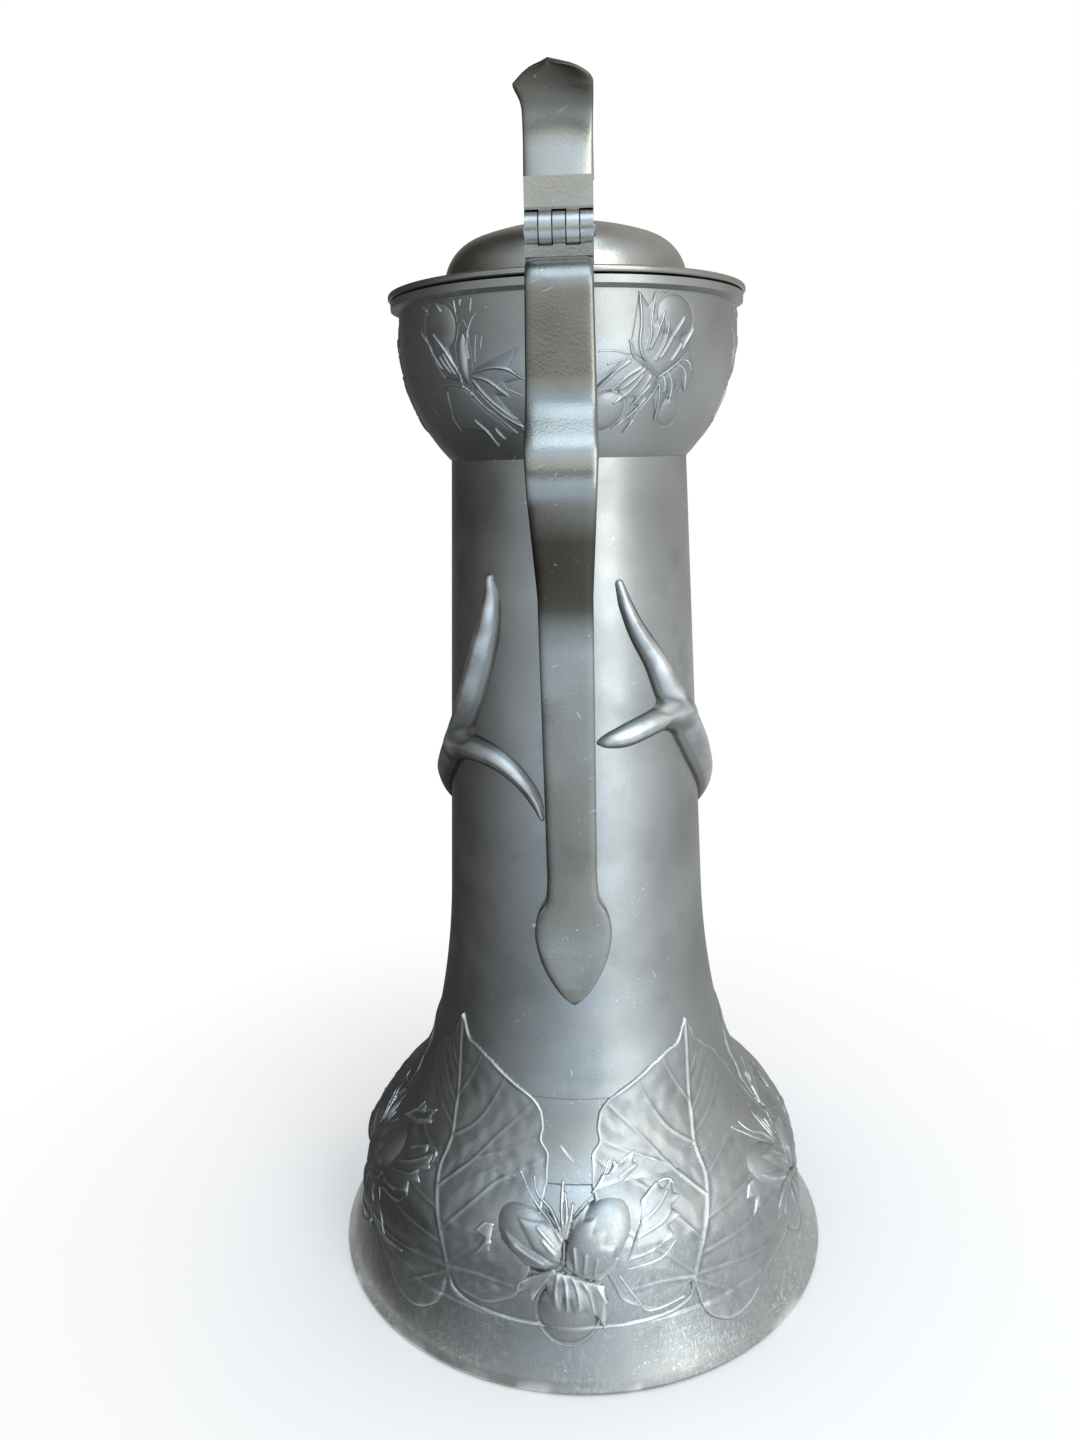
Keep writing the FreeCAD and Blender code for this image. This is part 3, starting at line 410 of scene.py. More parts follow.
LEAF_OUTLINE = [
    (48, 89), (42.5, 83.5), (34, 81.2), (24.5, 77.5), (11, 71.6), (6.8, 66.2), (6.9, 61.4),
    (4.3, 57.6), (4.2, 52), (4.8, 45), (6.2, 36), (8.1, 27.8), (12, 22), (18.2, 19.7),
    (23.8, 21), (27.2, 24.8), (28.6, 17), (33.5, 10.5), (42, 10.5), (50, 15.3), (60, 17.5),
    (67, 23), (70.5, 31), (71.5, 39), (74.5, 46), (74.5, 53), (72, 61.5), (67.5, 69.5),
    (60.5, 76), (53.5, 80.5), (51, 84.3),
]
LEAF_MIDRIB = [
    (27.4, 24.6), (30.4, 33.3), (32.6, 38.6), (35.4, 44), (38, 49), (39, 55.2), (41.3, 60.8),
    (43.8, 68.8), (46.7, 80.1), (48, 88.6),
]
LEAF_VEINS = [
    [(42.6, 65), (38.6, 71.5), (34.6, 78.9)],
    [(39, 55), (31.8, 60.6), (26.9, 67.6), (22.9, 75.2)],
    [(35.6, 44.5), (28.5, 52.3), (21.6, 60.5), (11.5, 69.8)],
    [(27.4, 53.1), (20.3, 56.2), (9.6, 60.2)],
    [(31.2, 35), (23.7, 44.9), (17.7, 50.7), (6.6, 56.2)],
    [(27.8, 27), (22.4, 33.2), (14, 40.5), (7, 44.5)],
    [(27.4, 26), (20, 27.2), (11, 26.4)],
    [(44.6, 71), (49, 74.5), (53, 78.5)],
    [(42.2, 62.5), (49, 66), (57, 71.5)],
    [(40, 57), (50.4, 60.6), (63, 67)],
    [(37.6, 48.2), (47.7, 51.2), (60, 55), (71, 59.5)],
    [(33.4, 40), (45.9, 41.8), (59, 44), (72, 47.5)],
    [(29.6, 31.5), (44, 32.5), (57, 33), (69, 33.5)],
    [(28, 26.5), (37.5, 25), (48, 22.5), (62, 21)],
    [(28, 25), (35.5, 18.6), (42, 12.5)],
]
LEAF_STALK = [(27.3, 25), (26.6, 20.6), (22.5, 17.9), (16, 17), (8, 16.7), (1, 16.5)]
LEAF_FOLD = (18, 75)
LEAF_DEGREES, LEAF_HEIGHTS = (-1, 78), (8, 93)
FOLD_RISE, FOLD_REACH = 1.1, 9.0
EDGE_WAVES, EDGE_WAVE_SHARE = 11, 0.35
EDGE_SLOPE, EDGE_REACH = 1.7, 4
LEAF_TEETH = 26
TOOTH = (0.0035, 0.16)
LEAF_THICKNESS = 0.45
BROAD_RIPPLE_RISE, FINE_RIPPLE_RISE = 0.07, 0.05
SWELL_RISE, SWELL_REACH = 0.4, 4.5
RIM_RISE, RIM_WIDTH = 0.2, 0.45
MIDRIB_RISE, MIDRIB_WIDTH = 0.42, 0.5
VEIN_RISE, VEIN_WIDTH, VEIN_TAPER = 0.34, 0.42, 0.6
STALK_GIRTH, STALK_TAPER = 0.8, 0.35
STALK_SLOPE, STALK_RISE_SHARE = 1.5, 0.55


def leaf_lift():
    """Turns, lengths and lift of a leaf: a raised edge, raised veins and soft swells between them."""
    turns, alongs = wall_grid(foot_wall, LEAF_DEGREES, LEAF_HEIGHTS)
    plane = np.stack([turns.ravel(), alongs.ravel()], axis=1)
    points = foot_wall.points(plane[:, 0], plane[:, 1])
    outline = smooth_line(on_wall(foot_wall, LEAF_OUTLINE), 12, closed=True)
    tooth = np.sin(np.linspace(0, 2 * math.pi * LEAF_TEETH, len(outline)))[:, None]
    outline = outline + tooth * np.array(TOOTH)
    edge, share = dense(foot_wall.points(*np.vstack([outline, outline[:1]]).T))
    depth, number = nearest(points, edge)
    depth = np.where(inside(plane, outline), depth, -depth)
    fold = foot_wall.points(*on_wall(foot_wall, [LEAF_FOLD]).T)[0]
    folded = np.exp(-(np.linalg.norm(points - fold, axis=1) / FOLD_REACH) ** 2)
    wave = EDGE_WAVE_SHARE * np.sin(share[number] * 2 * math.pi * EDGE_WAVES + 1)
    edge_wave = 1 + wave + FOLD_RISE * folded
    midrib, _ = drawn_line(foot_wall, LEAF_MIDRIB)
    rib_distance, _ = nearest(points, midrib)
    vein_distance = np.full(len(points), np.inf)
    vein_height = np.zeros(len(points))
    for vein in LEAF_VEINS:
        line, vein_share = drawn_line(foot_wall, vein)
        distance, place = nearest(points, line)
        nearer = distance < vein_distance
        vein_distance = np.where(nearer, distance, vein_distance)
        vein_height = np.where(nearer, 1 - VEIN_TAPER * vein_share[place], vein_height)
    x, y = points[:, 0], points[:, 2]
    surface = LEAF_THICKNESS + BROAD_RIPPLE_RISE * ripple(x, y, seed=3, size=16)
    surface = surface + FINE_RIPPLE_RISE * ripple(x, y, seed=4, size=4)
    swell = SWELL_RISE * (1 - np.exp(-(np.minimum(vein_distance, rib_distance) / SWELL_REACH) ** 2))
    rim = RIM_RISE * edge_wave * np.exp(-((depth - RIM_WIDTH) / RIM_WIDTH) ** 2)
    midrib_lift = MIDRIB_RISE * np.exp(-((rib_distance / MIDRIB_WIDTH) ** 2))
    vein_lift = VEIN_RISE * vein_height * np.exp(-((vein_distance / VEIN_WIDTH) ** 2))
    ribs = np.maximum(midrib_lift, vein_lift)
    swell = swell * np.clip(depth / EDGE_REACH, 0, 1)
    lift = np.minimum(EDGE_SLOPE * depth, surface + swell + rim + ribs)
    stalk, stalk_share = drawn_line(foot_wall, LEAF_STALK)
    stalk_distance, place = nearest(points, stalk)
    girth = STALK_GIRTH - STALK_TAPER * stalk_share[place]
    stalk_lift = np.minimum(STALK_SLOPE * (girth - stalk_distance), STALK_RISE_SHARE * girth)
    lift = np.maximum(lift, stalk_lift)
    return turns, alongs, np.maximum(lift, SUNK).reshape(turns.shape)


LEAF_PITCH = 72
LEFT_LEAF_TURN = -4.0


def add_leaves():
    drawing = leaf_lift()
    for name, degrees, mirror in (
        ("leaf_back_right", 0, False),
        ("leaf_right", LEAF_PITCH, False),
        ("leaf_front", 2 * LEAF_PITCH, False),
        ("leaf_back_left", LEFT_LEAF_TURN, True),
        ("leaf_left", LEFT_LEAF_TURN - LEAF_PITCH, True),
    ):
        relief(name, foot_wall, *drawing, math.radians(degrees), mirror, "bell_foot")


# Clusters of nuts in frilled husks, drawn in millimetres to the right of and above the knot where they meet.
# An egg has a middle, a heading, half its length, half its width and a rise. A husk is an outline and a ridge
# is a line.

BELL_KNOT = (-3.6, 34.0)
BELL_EGGS = [
    ((-9.6, 7.2), 141, 11.8, 7.8, 2),
    ((10.8, 8), 56, 12.6, 8.4, 2.1),
    ((2.2, -12.6), 268, 9.4, 9, 1.7),
]
BELL_HUSKS = [
    [(-0.3, 1), (0.3, 6.7), (-1.3, 9.5), (-4.5, 11.3), (-12.6, 11.6), (-10.3, 8.1), (-7.7, 4.6),
     (-1.9, 1)],
    [(-1.9, 0.4), (-5.2, 3), (-11, 5.3), (-16.8, 8.1), (-14.8, 3.9), (-10.3, -0.7), (-3.9, -1.4)],
    [(1, 1), (1.9, 6.7), (2.9, 12.3), (7.7, 17.3), (6.1, 12.3), (9.7, 12.6), (8.4, 8.8), (12.3, 9.5),
     (11.6, 6), (15.5, 5.3), (14.8, 2.5), (16.8, 2.1), (14.8, -1.1), (11, -4.2), (5.8, -3.2),
     (1.9, -1)],
    [(-1.3, -1.8), (1.9, -2.5), (8.4, -4.6), (12.3, -5.3), (12.9, -10.2), (12.6, -19.4), (9.7, -13.7),
     (8.7, -15.8), (7.1, -11.6), (3.9, -13), (2.6, -8.8), (1.9, -13), (0.6, -8.1), (-0.6, -13),
     (-1.9, -10.2), (-3.9, -7.4), (-4.5, -4.6)],
    [(18, 0.5), (20.6, 6.7), (22, 10.2), (22, 15.8), (27.1, 20), (29, 17.8), (32, 19.8),
     (32.6, 16), (35.4, 14.6), (31.6, 12.3), (35, 9.6), (31, 7.8), (33.4, 4.4), (28, 4),
     (25.8, 1.8)],
    [(8.4, 19.4), (10.4, 24), (12.8, 24), (14, 28), (16.2, 26), (20.4, 29.6), (20, 26.4),
     (22, 25), (17, 21.5), (13, 20.5)],
    [(-20, 8.4), (-23, 8.4), (-25.8, 5.3), (-23, 4), (-25.4, -0.4), (-21, 0.6)],
    [(-2, -1.5), (-6, -7), (-8.4, -10.6), (-9.6, -7.6), (-12.9, -9.2), (-11, -5.3)],
]
BELL_RIDGES = [
    [(0.3, 6.7), (-4, 12), (-8.7, 17), (-12.9, 23.6)],
    [(0.3, 7.4), (-3.2, 14.4), (-7.4, 18.3), (-8.7, 22.9)],
    [(0.4, 8), (-0.3, 15), (-0.3, 22.2)],
    [(0.8, 8), (1.2, 14), (0.6, 19)],
    [(1.2, 7.5), (2.4, 13), (2.9, 16.2)],
    [(-25.8, 5.3), (-22.6, 8.1), (-20, 8.1)],
    [(-25.2, -0.4), (-22.6, 2.5), (-20.6, 3.4)],
    [(-2, -1.5), (-11, -5.3), (-12.9, -8.8)],
    [(-8.4, -10.2), (-4.5, -4.6), (-2, -1.5)],
    [(-6.5, 9.6), (-2, 5.5)],
    [(-5, 6.6), (-1.6, 3.4)],
    [(-13, 4.6), (-5, 0.6)],
    [(3.6, 5), (4.2, -1)],
    [(6.8, 3.6), (6.6, -1.6)],
    [(9.9, 2.4), (9.4, -2.4)],
    [(12.9, -10.2), (10.4, -6)],
    [(9.7, -13.7), (8.2, -8), (6.2, -4.4)],
    [(5.4, -12), (4.8, -7), (3.4, -3.4)],
    [(1.9, -12), (1.6, -7), (1, -3.4)],
    [(-1.2, -11), (-1.6, -6.4), (-1, -3)],
    [(12.3, 23.6), (15.5, 26.4), (20, 29.2)],
    [(16.1, 22.9), (21.3, 26)],
    [(8.4, 19.4), (11.4, 24), (12.6, 27.6)],
    [(22.6, 15.8), (27.1, 19.4), (31.6, 19.4), (34.8, 15.1)],
    [(22.6, 10.2), (27.1, 13), (30.3, 16.5)],
    [(21.3, 6.7), (29, 9.5), (31.6, 12.3)],
    [(18.1, 1.1), (25.8, 2.5), (31.6, 5.3)],
    [(18.7, -1.4), (28.4, 0), (32.9, 3.9)],
    [(16.5, -3.2), (21.3, -10.2), (25.2, -14.4), (35.5, -13)],
]
COLLAR_KNOT = (0, 274)
RIGHT_COLLAR_EGGS = [
    ((3.8, 15), 78, 5.2, 5.8, 0.65),
    ((-14.1, -9), 213, 5.9, 5.2, 0.8),
    ((5.4, -9), 297, 3.8, 3.5, 0.55),
]
RIGHT_COLLAR_HUSKS = [
    [(0, 0.6), (-4.3, 3.6), (-8.1, 5.6), (-9.2, 9), (-8.4, 13.5), (-7, 20.9), (-4.3, 17.3),
     (-2.2, 20.9), (-3.5, 12.4), (0, 15.6), (0.5, 11.1), (1.4, 12.9), (2.7, 10.7), (6.5, 14.7),
     (5.7, 9.3), (10.3, 12.4), (8.6, 8), (9, 6.8), (6.5, 4.8), (3.3, 2.7)],
    [(-0.6, 0), (-4.4, 2.7), (-8.2, 4.6), (-10.3, 4.4), (-15.7, -0.4), (-20.5, -6), (-16.8, -4.9),
     (-13, -3.3), (-10.8, -3.1), (-11.6, -6.2), (-5.9, -4.9), (-7, -7.6), (-4.9, -7.1), (-8.1, -11.6),
     (-10.3, -13.3), (-5.9, -11.1), (-6.8, -14.7), (-4.9, -12), (-3.9, -8.4), (-1.8, -5.3), (-0.7, -2.7)],
    [(0.6, 0), (3.3, 1.8), (6.5, 4), (9.2, 6), (11.5, 3.5), (12, 0), (9.6, -4), (8.2, -1.5),
     (7, -4.4), (6, -2), (4.6, -6.4), (3.6, -3.6), (1.6, -11.1), (-0.6, -5.3), (0.1, -2.7)],
]
RIGHT_COLLAR_RIDGES = [
    [(-9.5, 8.9), (-8.1, 5.1), (-4.3, 3.1), (0, 0)],
    [(0, 0), (3.3, 2.2), (6.5, 4.4), (9.2, 6.7)],
    [(0, 0), (-0.3, -2.7), (-1.6, -5.3), (-3.8, -8.4), (-4.9, -12)],
    [(-7, 20.9), (-6.5, 14), (-6.8, 8), (-5, 4.2)],
    [(-1.6, 24.6), (-2.2, 20.9), (-3.4, 15), (-3.8, 10), (-4.5, 7)],
    [(0, 15.6), (-2, 10.5), (-3.6, 7.2)],
    [(1.4, 12.9), (0.6, 9), (-1.8, 4.4)],
    [(6.5, 14.7), (3.4, 10.8), (1.4, 7.5), (-0.4, 5)],
    [(6.2, 8.4), (4.2, 5.8), (3.2, 4.4)],
    [(10.3, 12.4), (7.4, 8.8), (6.6, 7.4)],
    [(2.2, 24.9), (1.6, 22), (-0.2, 20)],
    [(-9.2, 5.6), (-14, 6.5), (-19.5, 6.2)],
    [(-9.7, 4.9), (-14.6, 3.1)],
    [(-10.3, 4.4), (-15.1, 0.9), (-20.5, -1)],
    [(-20.5, -6), (-16.4, -2.4), (-12.4, 1.6), (-9, 4)],
    [(-13, -3.3), (-9.5, 0.2), (-5.6, 2.4)],
    [(-10.8, -3.1), (-7.6, -0.6), (-4.6, 2)],
    [(-11.6, -6.2), (-8.2, -3.5), (-5, 0.4)],
    [(-5.9, -4.9), (-4, -2), (-2.6, 0.4)],
    [(-7, -7.6), (-4.6, -4.4), (-2.4, -2)],
    [(-8.1, -11.6), (-5, -8), (-3, -5.4)],
    [(-6.8, -14.7), (-5, -11.5)],
    [(-10.3, -13.3), (-7.4, -11)],
    [(1.2, 0.6), (2, -1.6), (2.2, -3.4)],
    [(2.6, 1.6), (4.3, -1.8), (4.6, -6.4)],
    [(5.6, 3.6), (8.2, 1.6), (9.2, -2.8)],
    [(7.2, 4.8), (9.2, 4), (10.4, 2.4)],
    [(0.2, -1), (1, -5), (1.6, -11.1)],
]
LEFT_COLLAR_EGGS = [
    ((-6.2, 14.4), 118, 6.2, 5.6, 0.7),
    ((1.4, 6), 88, 6.2, 1.7, 1.1),
]
LEFT_COLLAR_HUSKS = [
    [(-0.3, 0.2), (-6.5, 1.8), (-8.5, 5), (-10.7, 9.8), (-14.6, 13.8), (-9.6, 11.4), (-8.1, 12.7),
     (-5, 9.8), (-3.8, 9.6), (-2, 5.4), (-0.3, 2.4)],
    [(3.2, 2.2), (10, 5), (17.8, 7.8), (14.6, 3.4), (17.8, 0.2), (12.6, -0.6), (13, -4.2), (9.4, -3.6),
     (13, -10), (15.7, -17.6), (8.6, -8.4), (3.2, -1.4)],
    [(-7, 0.2), (-1, -0.8), (1.6, -2.6), (4.9, -6.6), (8.1, -9.8), (11.4, -14), (7.3, -15.8),
     (4.3, -18), (1.6, -13.6), (-2, -13), (-6.5, -12.7), (-7.6, -9.1), (-7, -5.6)],
]
LEFT_COLLAR_RIDGES = [
    [(-14.6, 13.8), (-10.5, 10), (-8.5, 5), (-6.2, 1.8)],
    [(-8.1, 12.7), (-5.1, 9.4), (-2.2, 5), (-0.5, 2.2), (-0.5, 0.2)],
    [(-9.7, 8.2), (-6.5, 4.2)],
    [(-6.8, 7), (-3.6, 3)],
    [(-5.4, 7.6), (-2.2, 2.6)],
    [(-13.5, 20.7), (-10.5, 18)],
    [(-10.3, 23.3), (-7.6, 20.9), (-5.1, 18.2)],
    [(-0.8, 20.7), (-0.3, 17.6)],
    [(1.6, 20.9), (1.2, 19)],
    [(5.1, 23.3), (4.9, 19.8), (4.4, 17.2)],
    [(3.2, 6), (3.2, 11.3), (5.4, 16), (9.2, 17.8)],
    [(5.9, 11.3), (4.9, 5.1)],
    [(7.6, 10.9), (7, 8)],
    [(3.8, 2.9), (10, 5), (17.8, 7.8)],
    [(3.8, 2.4), (9, 3.4), (13.5, 2.9), (17.8, 0.2)],
    [(3.4, 1.6), (8, 0.2), (13, -4.2)],
    [(3.2, 0.7), (8.1, -5.6), (13, -10)],
    [(3.6, -2), (8.6, -8), (15.1, -13.6), (15.7, -17.6)],
    [(12.4, -2), (17.8, -4.7)],
    [(9.2, -7.2), (12.6, -10.2)],
    [(-7, 0.2), (-1, -0.7), (1.6, -2.4), (4.9, -6.4), (8.1, -9.6), (11.4, -14)],
    [(-6.5, -2), (-7, -5.6), (-7.6, -9.1), (-6.5, -12.7)],
    [(0.5, -10), (3.2, -13.6), (4.3, -18)],
    [(5.9, -12.7), (7.3, -15.8)],
]
COLLAR_DRAWINGS = {
    "right": (RIGHT_COLLAR_EGGS, RIGHT_COLLAR_HUSKS, RIGHT_COLLAR_RIDGES),
    "left": (LEFT_COLLAR_EGGS, LEFT_COLLAR_HUSKS, LEFT_COLLAR_RIDGES),
}
COLLAR_CLUSTERS = [
    (32, "right"), (-34.5, "left"), (90, "left"), (-92, "right"), (148, "right"), (-152, "left"),
]
BELL_CLUSTER_REACH, BELL_STEP = 38, 0.32
BELL_RELIEF = {"ground": 0.6, "rim_rise": 0.2, "husk_rise": 0.4, "ridge_rise": 0.38, "ridge_width": 0.42}
COLLAR_CLUSTER_REACH, COLLAR_STEP = 26, 0.2
COLLAR_RELIEF = {"ground": 0, "rim_rise": 0.08, "husk_rise": 0.3, "ridge_rise": 0.5, "ridge_width": 0.25}
EGG_ROUNDNESS = 2.6
GROOVE_WIDTH, GROOVE_SPREAD = 0.8, 0.4
HUSK_EDGE = 0.6
RIDGE_SINK = 0.08
RIDGE_END_SHARE = 0.75


def egg_lift(points, middle, heading, half_length, half_width, rise, rim_rise):
    """Lift of a nut that lies in a narrow groove with a low rim round it."""
    angle = math.radians(heading)
    from_middle = points - np.array(middle)
    along = from_middle @ np.array((math.cos(angle), math.sin(angle))) / half_length
    across = from_middle @ np.array((-math.sin(angle), math.cos(angle))) / half_width
    distance = np.hypot(along, across)
    outside = (distance - 1) * half_width
    rim = (rim_rise - SUNK) * np.exp(-(((outside - GROOVE_WIDTH) / GROOVE_SPREAD) ** 2)) + SUNK
    return np.where(outside < 0, rise * (1 - distance**EGG_ROUNDNESS), rim)


def cluster_lift(x, y, drawing, ground, rim_rise, husk_rise, ridge_rise, ridge_width):
    """Lift of a cluster: nuts, the husks that lap over them, and fine ridges on both and on the ground."""
    eggs, husks, ridges = drawing
    points = np.stack([x.ravel(), y.ravel()], axis=1)
    lift = np.full(len(points), SUNK)
    for egg in eggs:
        lift = np.maximum(lift, egg_lift(points, *egg, rim_rise))
    for husk in husks:
        outline = np.array(husk)
        edge, _ = dense(np.vstack([outline, outline[:1]]))
        depth, _ = nearest(points, edge)
        lapped = np.maximum(lift, ground) + husk_rise * (1 - np.exp(-depth / HUSK_EDGE))
        lift = np.where(inside(points, outline), lapped, lift)
    crest = np.zeros(len(points))
    for ridge in ridges:
        line, share = dense(smooth_line(ridge))
        distance, number = nearest(points, line)
        taper = RIDGE_END_SHARE + (1 - RIDGE_END_SHARE) * np.sin(math.pi * share[number])
        crest = np.maximum(crest, ridge_rise * taper * np.exp(-((distance / ridge_width) ** 2)))
    lone_crest = np.where(crest > RIDGE_SINK, ground + crest - RIDGE_SINK, SUNK)
    return np.maximum(lift + crest, lone_crest).reshape(x.shape)


def cluster_grid(wall, knot, reach, step):
    """A patch of wall about a knot, with each point's millimetres to the right of it and above it."""
    degrees = math.degrees(reach / np.interp(knot[1], wall.height, wall.radius))
    heights = (max(knot[1] - reach, wall.height[0]), min(knot[1] + reach, wall.height[-1]))
    turns, alongs = wall_grid(wall, (-degrees, degrees), heights, step)
    return turns, alongs, turns * np.interp(alongs, wall.along, wall.radius), alongs - wall.along_at(knot[1])


def add_nut_clusters():
    turns, alongs, x, y = cluster_grid(foot_wall, BELL_KNOT, BELL_CLUSTER_REACH, BELL_STEP)
    lift = cluster_lift(x, y, (BELL_EGGS, BELL_HUSKS, BELL_RIDGES), **BELL_RELIEF)
    for number, side in enumerate(("back", "right", "front_right", "front_left", "left")):
        turn = math.radians(BELL_KNOT[0] + number * LEAF_PITCH)
        relief(f"nuts_{side}", foot_wall, turns, alongs, lift, turn, replaces="bell_foot")
    turns, alongs, x, y = cluster_grid(collar_wall, COLLAR_KNOT, COLLAR_CLUSTER_REACH, COLLAR_STEP)
    lifts = {key: cluster_lift(x, y, drawing, **COLLAR_RELIEF) for key, drawing in COLLAR_DRAWINGS.items()}
    for number, (degrees, key) in enumerate(COLLAR_CLUSTERS, start=1):
        turn = math.radians(degrees)
        relief(f"collar_nuts_{number}", collar_wall, turns, alongs, lifts[key], turn)


# Antlers: stations of a limb give degrees, a share of the neck's height and a share of the full girth.

BEAM_RADIUS = 6.0
FORK_BLEND = 5.0
SINK_SHARE = 0.2
CREST_SHARE = 0.2
LIMB_WIDTH_SHARE = 1.09
ANTLER_RIPPLE_RISE = 0.05
ANTLER_HEIGHTS = (118, 228)
ANTLER_MARGIN = 11
# Painted shade laid over the whole of each antler, which darkens it.
ANTLER_PAINTED_SHADE = 0.45
RIGHT_BEAM_SHARES = [
    (23, 0.815, 0.24), (26.5, 0.777, 0.4), (32.5, 0.735, 0.54), (40.5, 0.693, 0.7), (48, 0.645, 0.92),
    (57, 0.598, 1.1), (67.5, 0.547, 1.15), (79, 0.5, 1.05), (91, 0.46, 0.96),
    (106, 0.42, 0.95), (126, 0.375, 0.95), (148, 0.326, 0.97), (163, 0.286, 1.06),
]
RIGHT_TINE_SHARES = [
    (12.3, 0.576, 0.14), (17, 0.578, 0.4), (24, 0.583, 0.58), (33, 0.592, 0.65), (43, 0.601, 0.69),
    (56, 0.606, 0.76),
]
LEFT_BEAM_SHARES = [
    (-37.6, 0.823, 0.3), (-36.6, 0.792, 0.56), (-39.2, 0.744, 0.8), (-43.4, 0.696, 0.9),
    (-48.8, 0.647, 0.94), (-56.5, 0.594, 0.92), (-67, 0.54, 0.96), (-79, 0.5, 0.93),
    (-91, 0.466, 0.92), (-106, 0.426, 0.93), (-126, 0.378, 0.95), (-148, 0.326, 0.97),
    (-163, 0.286, 1.06),
]
LEFT_TINE_SHARES = [
    (-12.6, 0.456, 0.14), (-15, 0.482, 0.34), (-19.6, 0.506, 0.44), (-27, 0.53, 0.56),
    (-36, 0.546, 0.65), (-47, 0.553, 0.72), (-60, 0.552, 0.78),
]


def limb_lift(points, stations):
    """Lift of a limb that lies half sunk on the neck, with a soft ridge along its middle."""
    curve = smooth_line(stations, 14)
    heights = SKIRT_TOP[1] + curve[:, 1] * (NECK_TOP[1] - SKIRT_TOP[1])
    middle = neck_wall.points(*on_wall(neck_wall, np.stack([curve[:, 0], heights], axis=1)).T)
    radius = curve[:, 2] * BEAM_RADIUS
    lift = np.empty(len(points))
    for block in np.array_split(np.arange(len(points)), max(1, len(points) // BLOCK)):
        distance = np.linalg.norm(points[block][:, None, :] - middle[None], axis=2)
        distance = distance / (LIMB_WIDTH_SHARE * radius)
        round_share = 1 - SINK_SHARE - (1 - CREST_SHARE) * distance**2 - CREST_SHARE * distance
        lift[block] = (radius * round_share).max(1)
    return lift


def add_antler(name, beam, tine, node):
    degrees = [station[0] for station in beam + tine]
    patch = (min(degrees) - ANTLER_MARGIN, max(degrees) + ANTLER_MARGIN)
    turns, alongs = wall_grid(neck_wall, patch, ANTLER_HEIGHTS)
    points = neck_wall.points(turns.ravel(), alongs.ravel())
    first, second = limb_lift(points, beam), limb_lift(points, tine)
    blend = np.maximum(1 - np.abs(first - second) / FORK_BLEND, 0)
    lift = np.maximum(first, second) + blend**2 * FORK_BLEND / 4
    lift = lift + ANTLER_RIPPLE_RISE * ripple(points[:, 0], points[:, 2], seed=8, size=9)
    lift = np.maximum(lift, SUNK).reshape(turns.shape)
    relief(name, neck_wall, turns, alongs, lift, replaces=node, least_shade=ANTLER_PAINTED_SHADE)


# Turned walls


def add_foot():
    inner_line = [(radius - WALL, height) for radius, height in bell_line[::-1]]
    inside_line = [
        (FLANGE_TOP[0] - WALL, DISC_TOP),
        (FLANGE_TOP[0], DISC_TOP),
        (FLANGE_TOP[0], DISC_RISE),
        (FOOT_RADIUS - FOOT_EDGE - FOOT_RING_WIDTH, 0),
        (FOOT_RADIUS - FOOT_EDGE, 0),
    ]
    edge = arc((FOOT_RADIUS - FOOT_EDGE, 0), flange_line[0], bulge=0.25, steps=4)[:-1]
    points, faces = lathe(edge + flange_line + bell_line + inner_line + inside_line)
    piece = add_piece("foot", points, faces, "jug", "body_pewter", smooth_angle=28, replaces="bell_foot")
    bevelled(piece, width=0.18, angle=22)


def add_neck():
    """The neck, whose lower edge stands a little off the bell, with a fine raised line above its skirt."""
    inner_line = [(radius - WALL, height) for radius, height in neck_line[::-1]]
    edge_foot = (SEAM[0] + SEAM_STEP, SEAM[1])
    edge_top = (SEAM[0] + SEAM_STEP, SEAM[1] + SEAM_STEP)
    line_foot = (SKIRT_TOP[0] + LINE_RISE, SKIRT_TOP[1] + LINE_RISE)
    skirt = [SEAM, edge_foot, edge_top] + arc(edge_top, SKIRT_TOP, SKIRT_BULGE) + [line_foot]
    taper = [tuple(place) for place in np.linspace(TAPER_FOOT, NECK_TOP, 24)[1:]]
    points, faces = lathe(skirt + flare_line + taper + inner_line)
    piece = add_piece("neck_tube", points, faces, "jug", "body_pewter", smooth_angle=28, replaces="neck")
    bevelled(piece, width=0.1, angle=35)


# The lid: a domed disc whose edge runs out over the spout.

LID_RADIUS = lid_high[0]
BEAK_RADIUS = 15.6
BEAK_MIDDLE = -lid_low[1] - BEAK_RADIUS
LID_EDGE = 1.7
LID_SLOPE = 1.8
LID_WALL = 1.8
LID_INSET = 0.8 * LID_WALL
FLAT_RADIUS = LID_RADIUS - 2.4
FLAT_RISE = 0.05
LID_ROUNDING = [(0.6, 0), (0.25, 0.12), (0, 0.5)]
LID_STEPS = 360
DOME_FOOT_RADIUS = LID_RADIUS - 16.2
DOME_TURN = (DOME_FOOT_RADIUS - 8.0, 12.0)
DOME_BULGE = 2.3
DOME_STEPS = 14


def beak_reach(turn):
    """How far the lid's edge runs out past its circle at a turn from the handle."""
    aside = BEAK_MIDDLE * np.abs(np.sin(turn))
    reach = -BEAK_MIDDLE * np.cos(turn) + np.sqrt(np.maximum(BEAK_RADIUS**2 - aside**2, 0))
    return np.where((aside < BEAK_RADIUS) & (np.cos(turn) < 0), np.maximum(reach - LID_RADIUS, 0), 0)


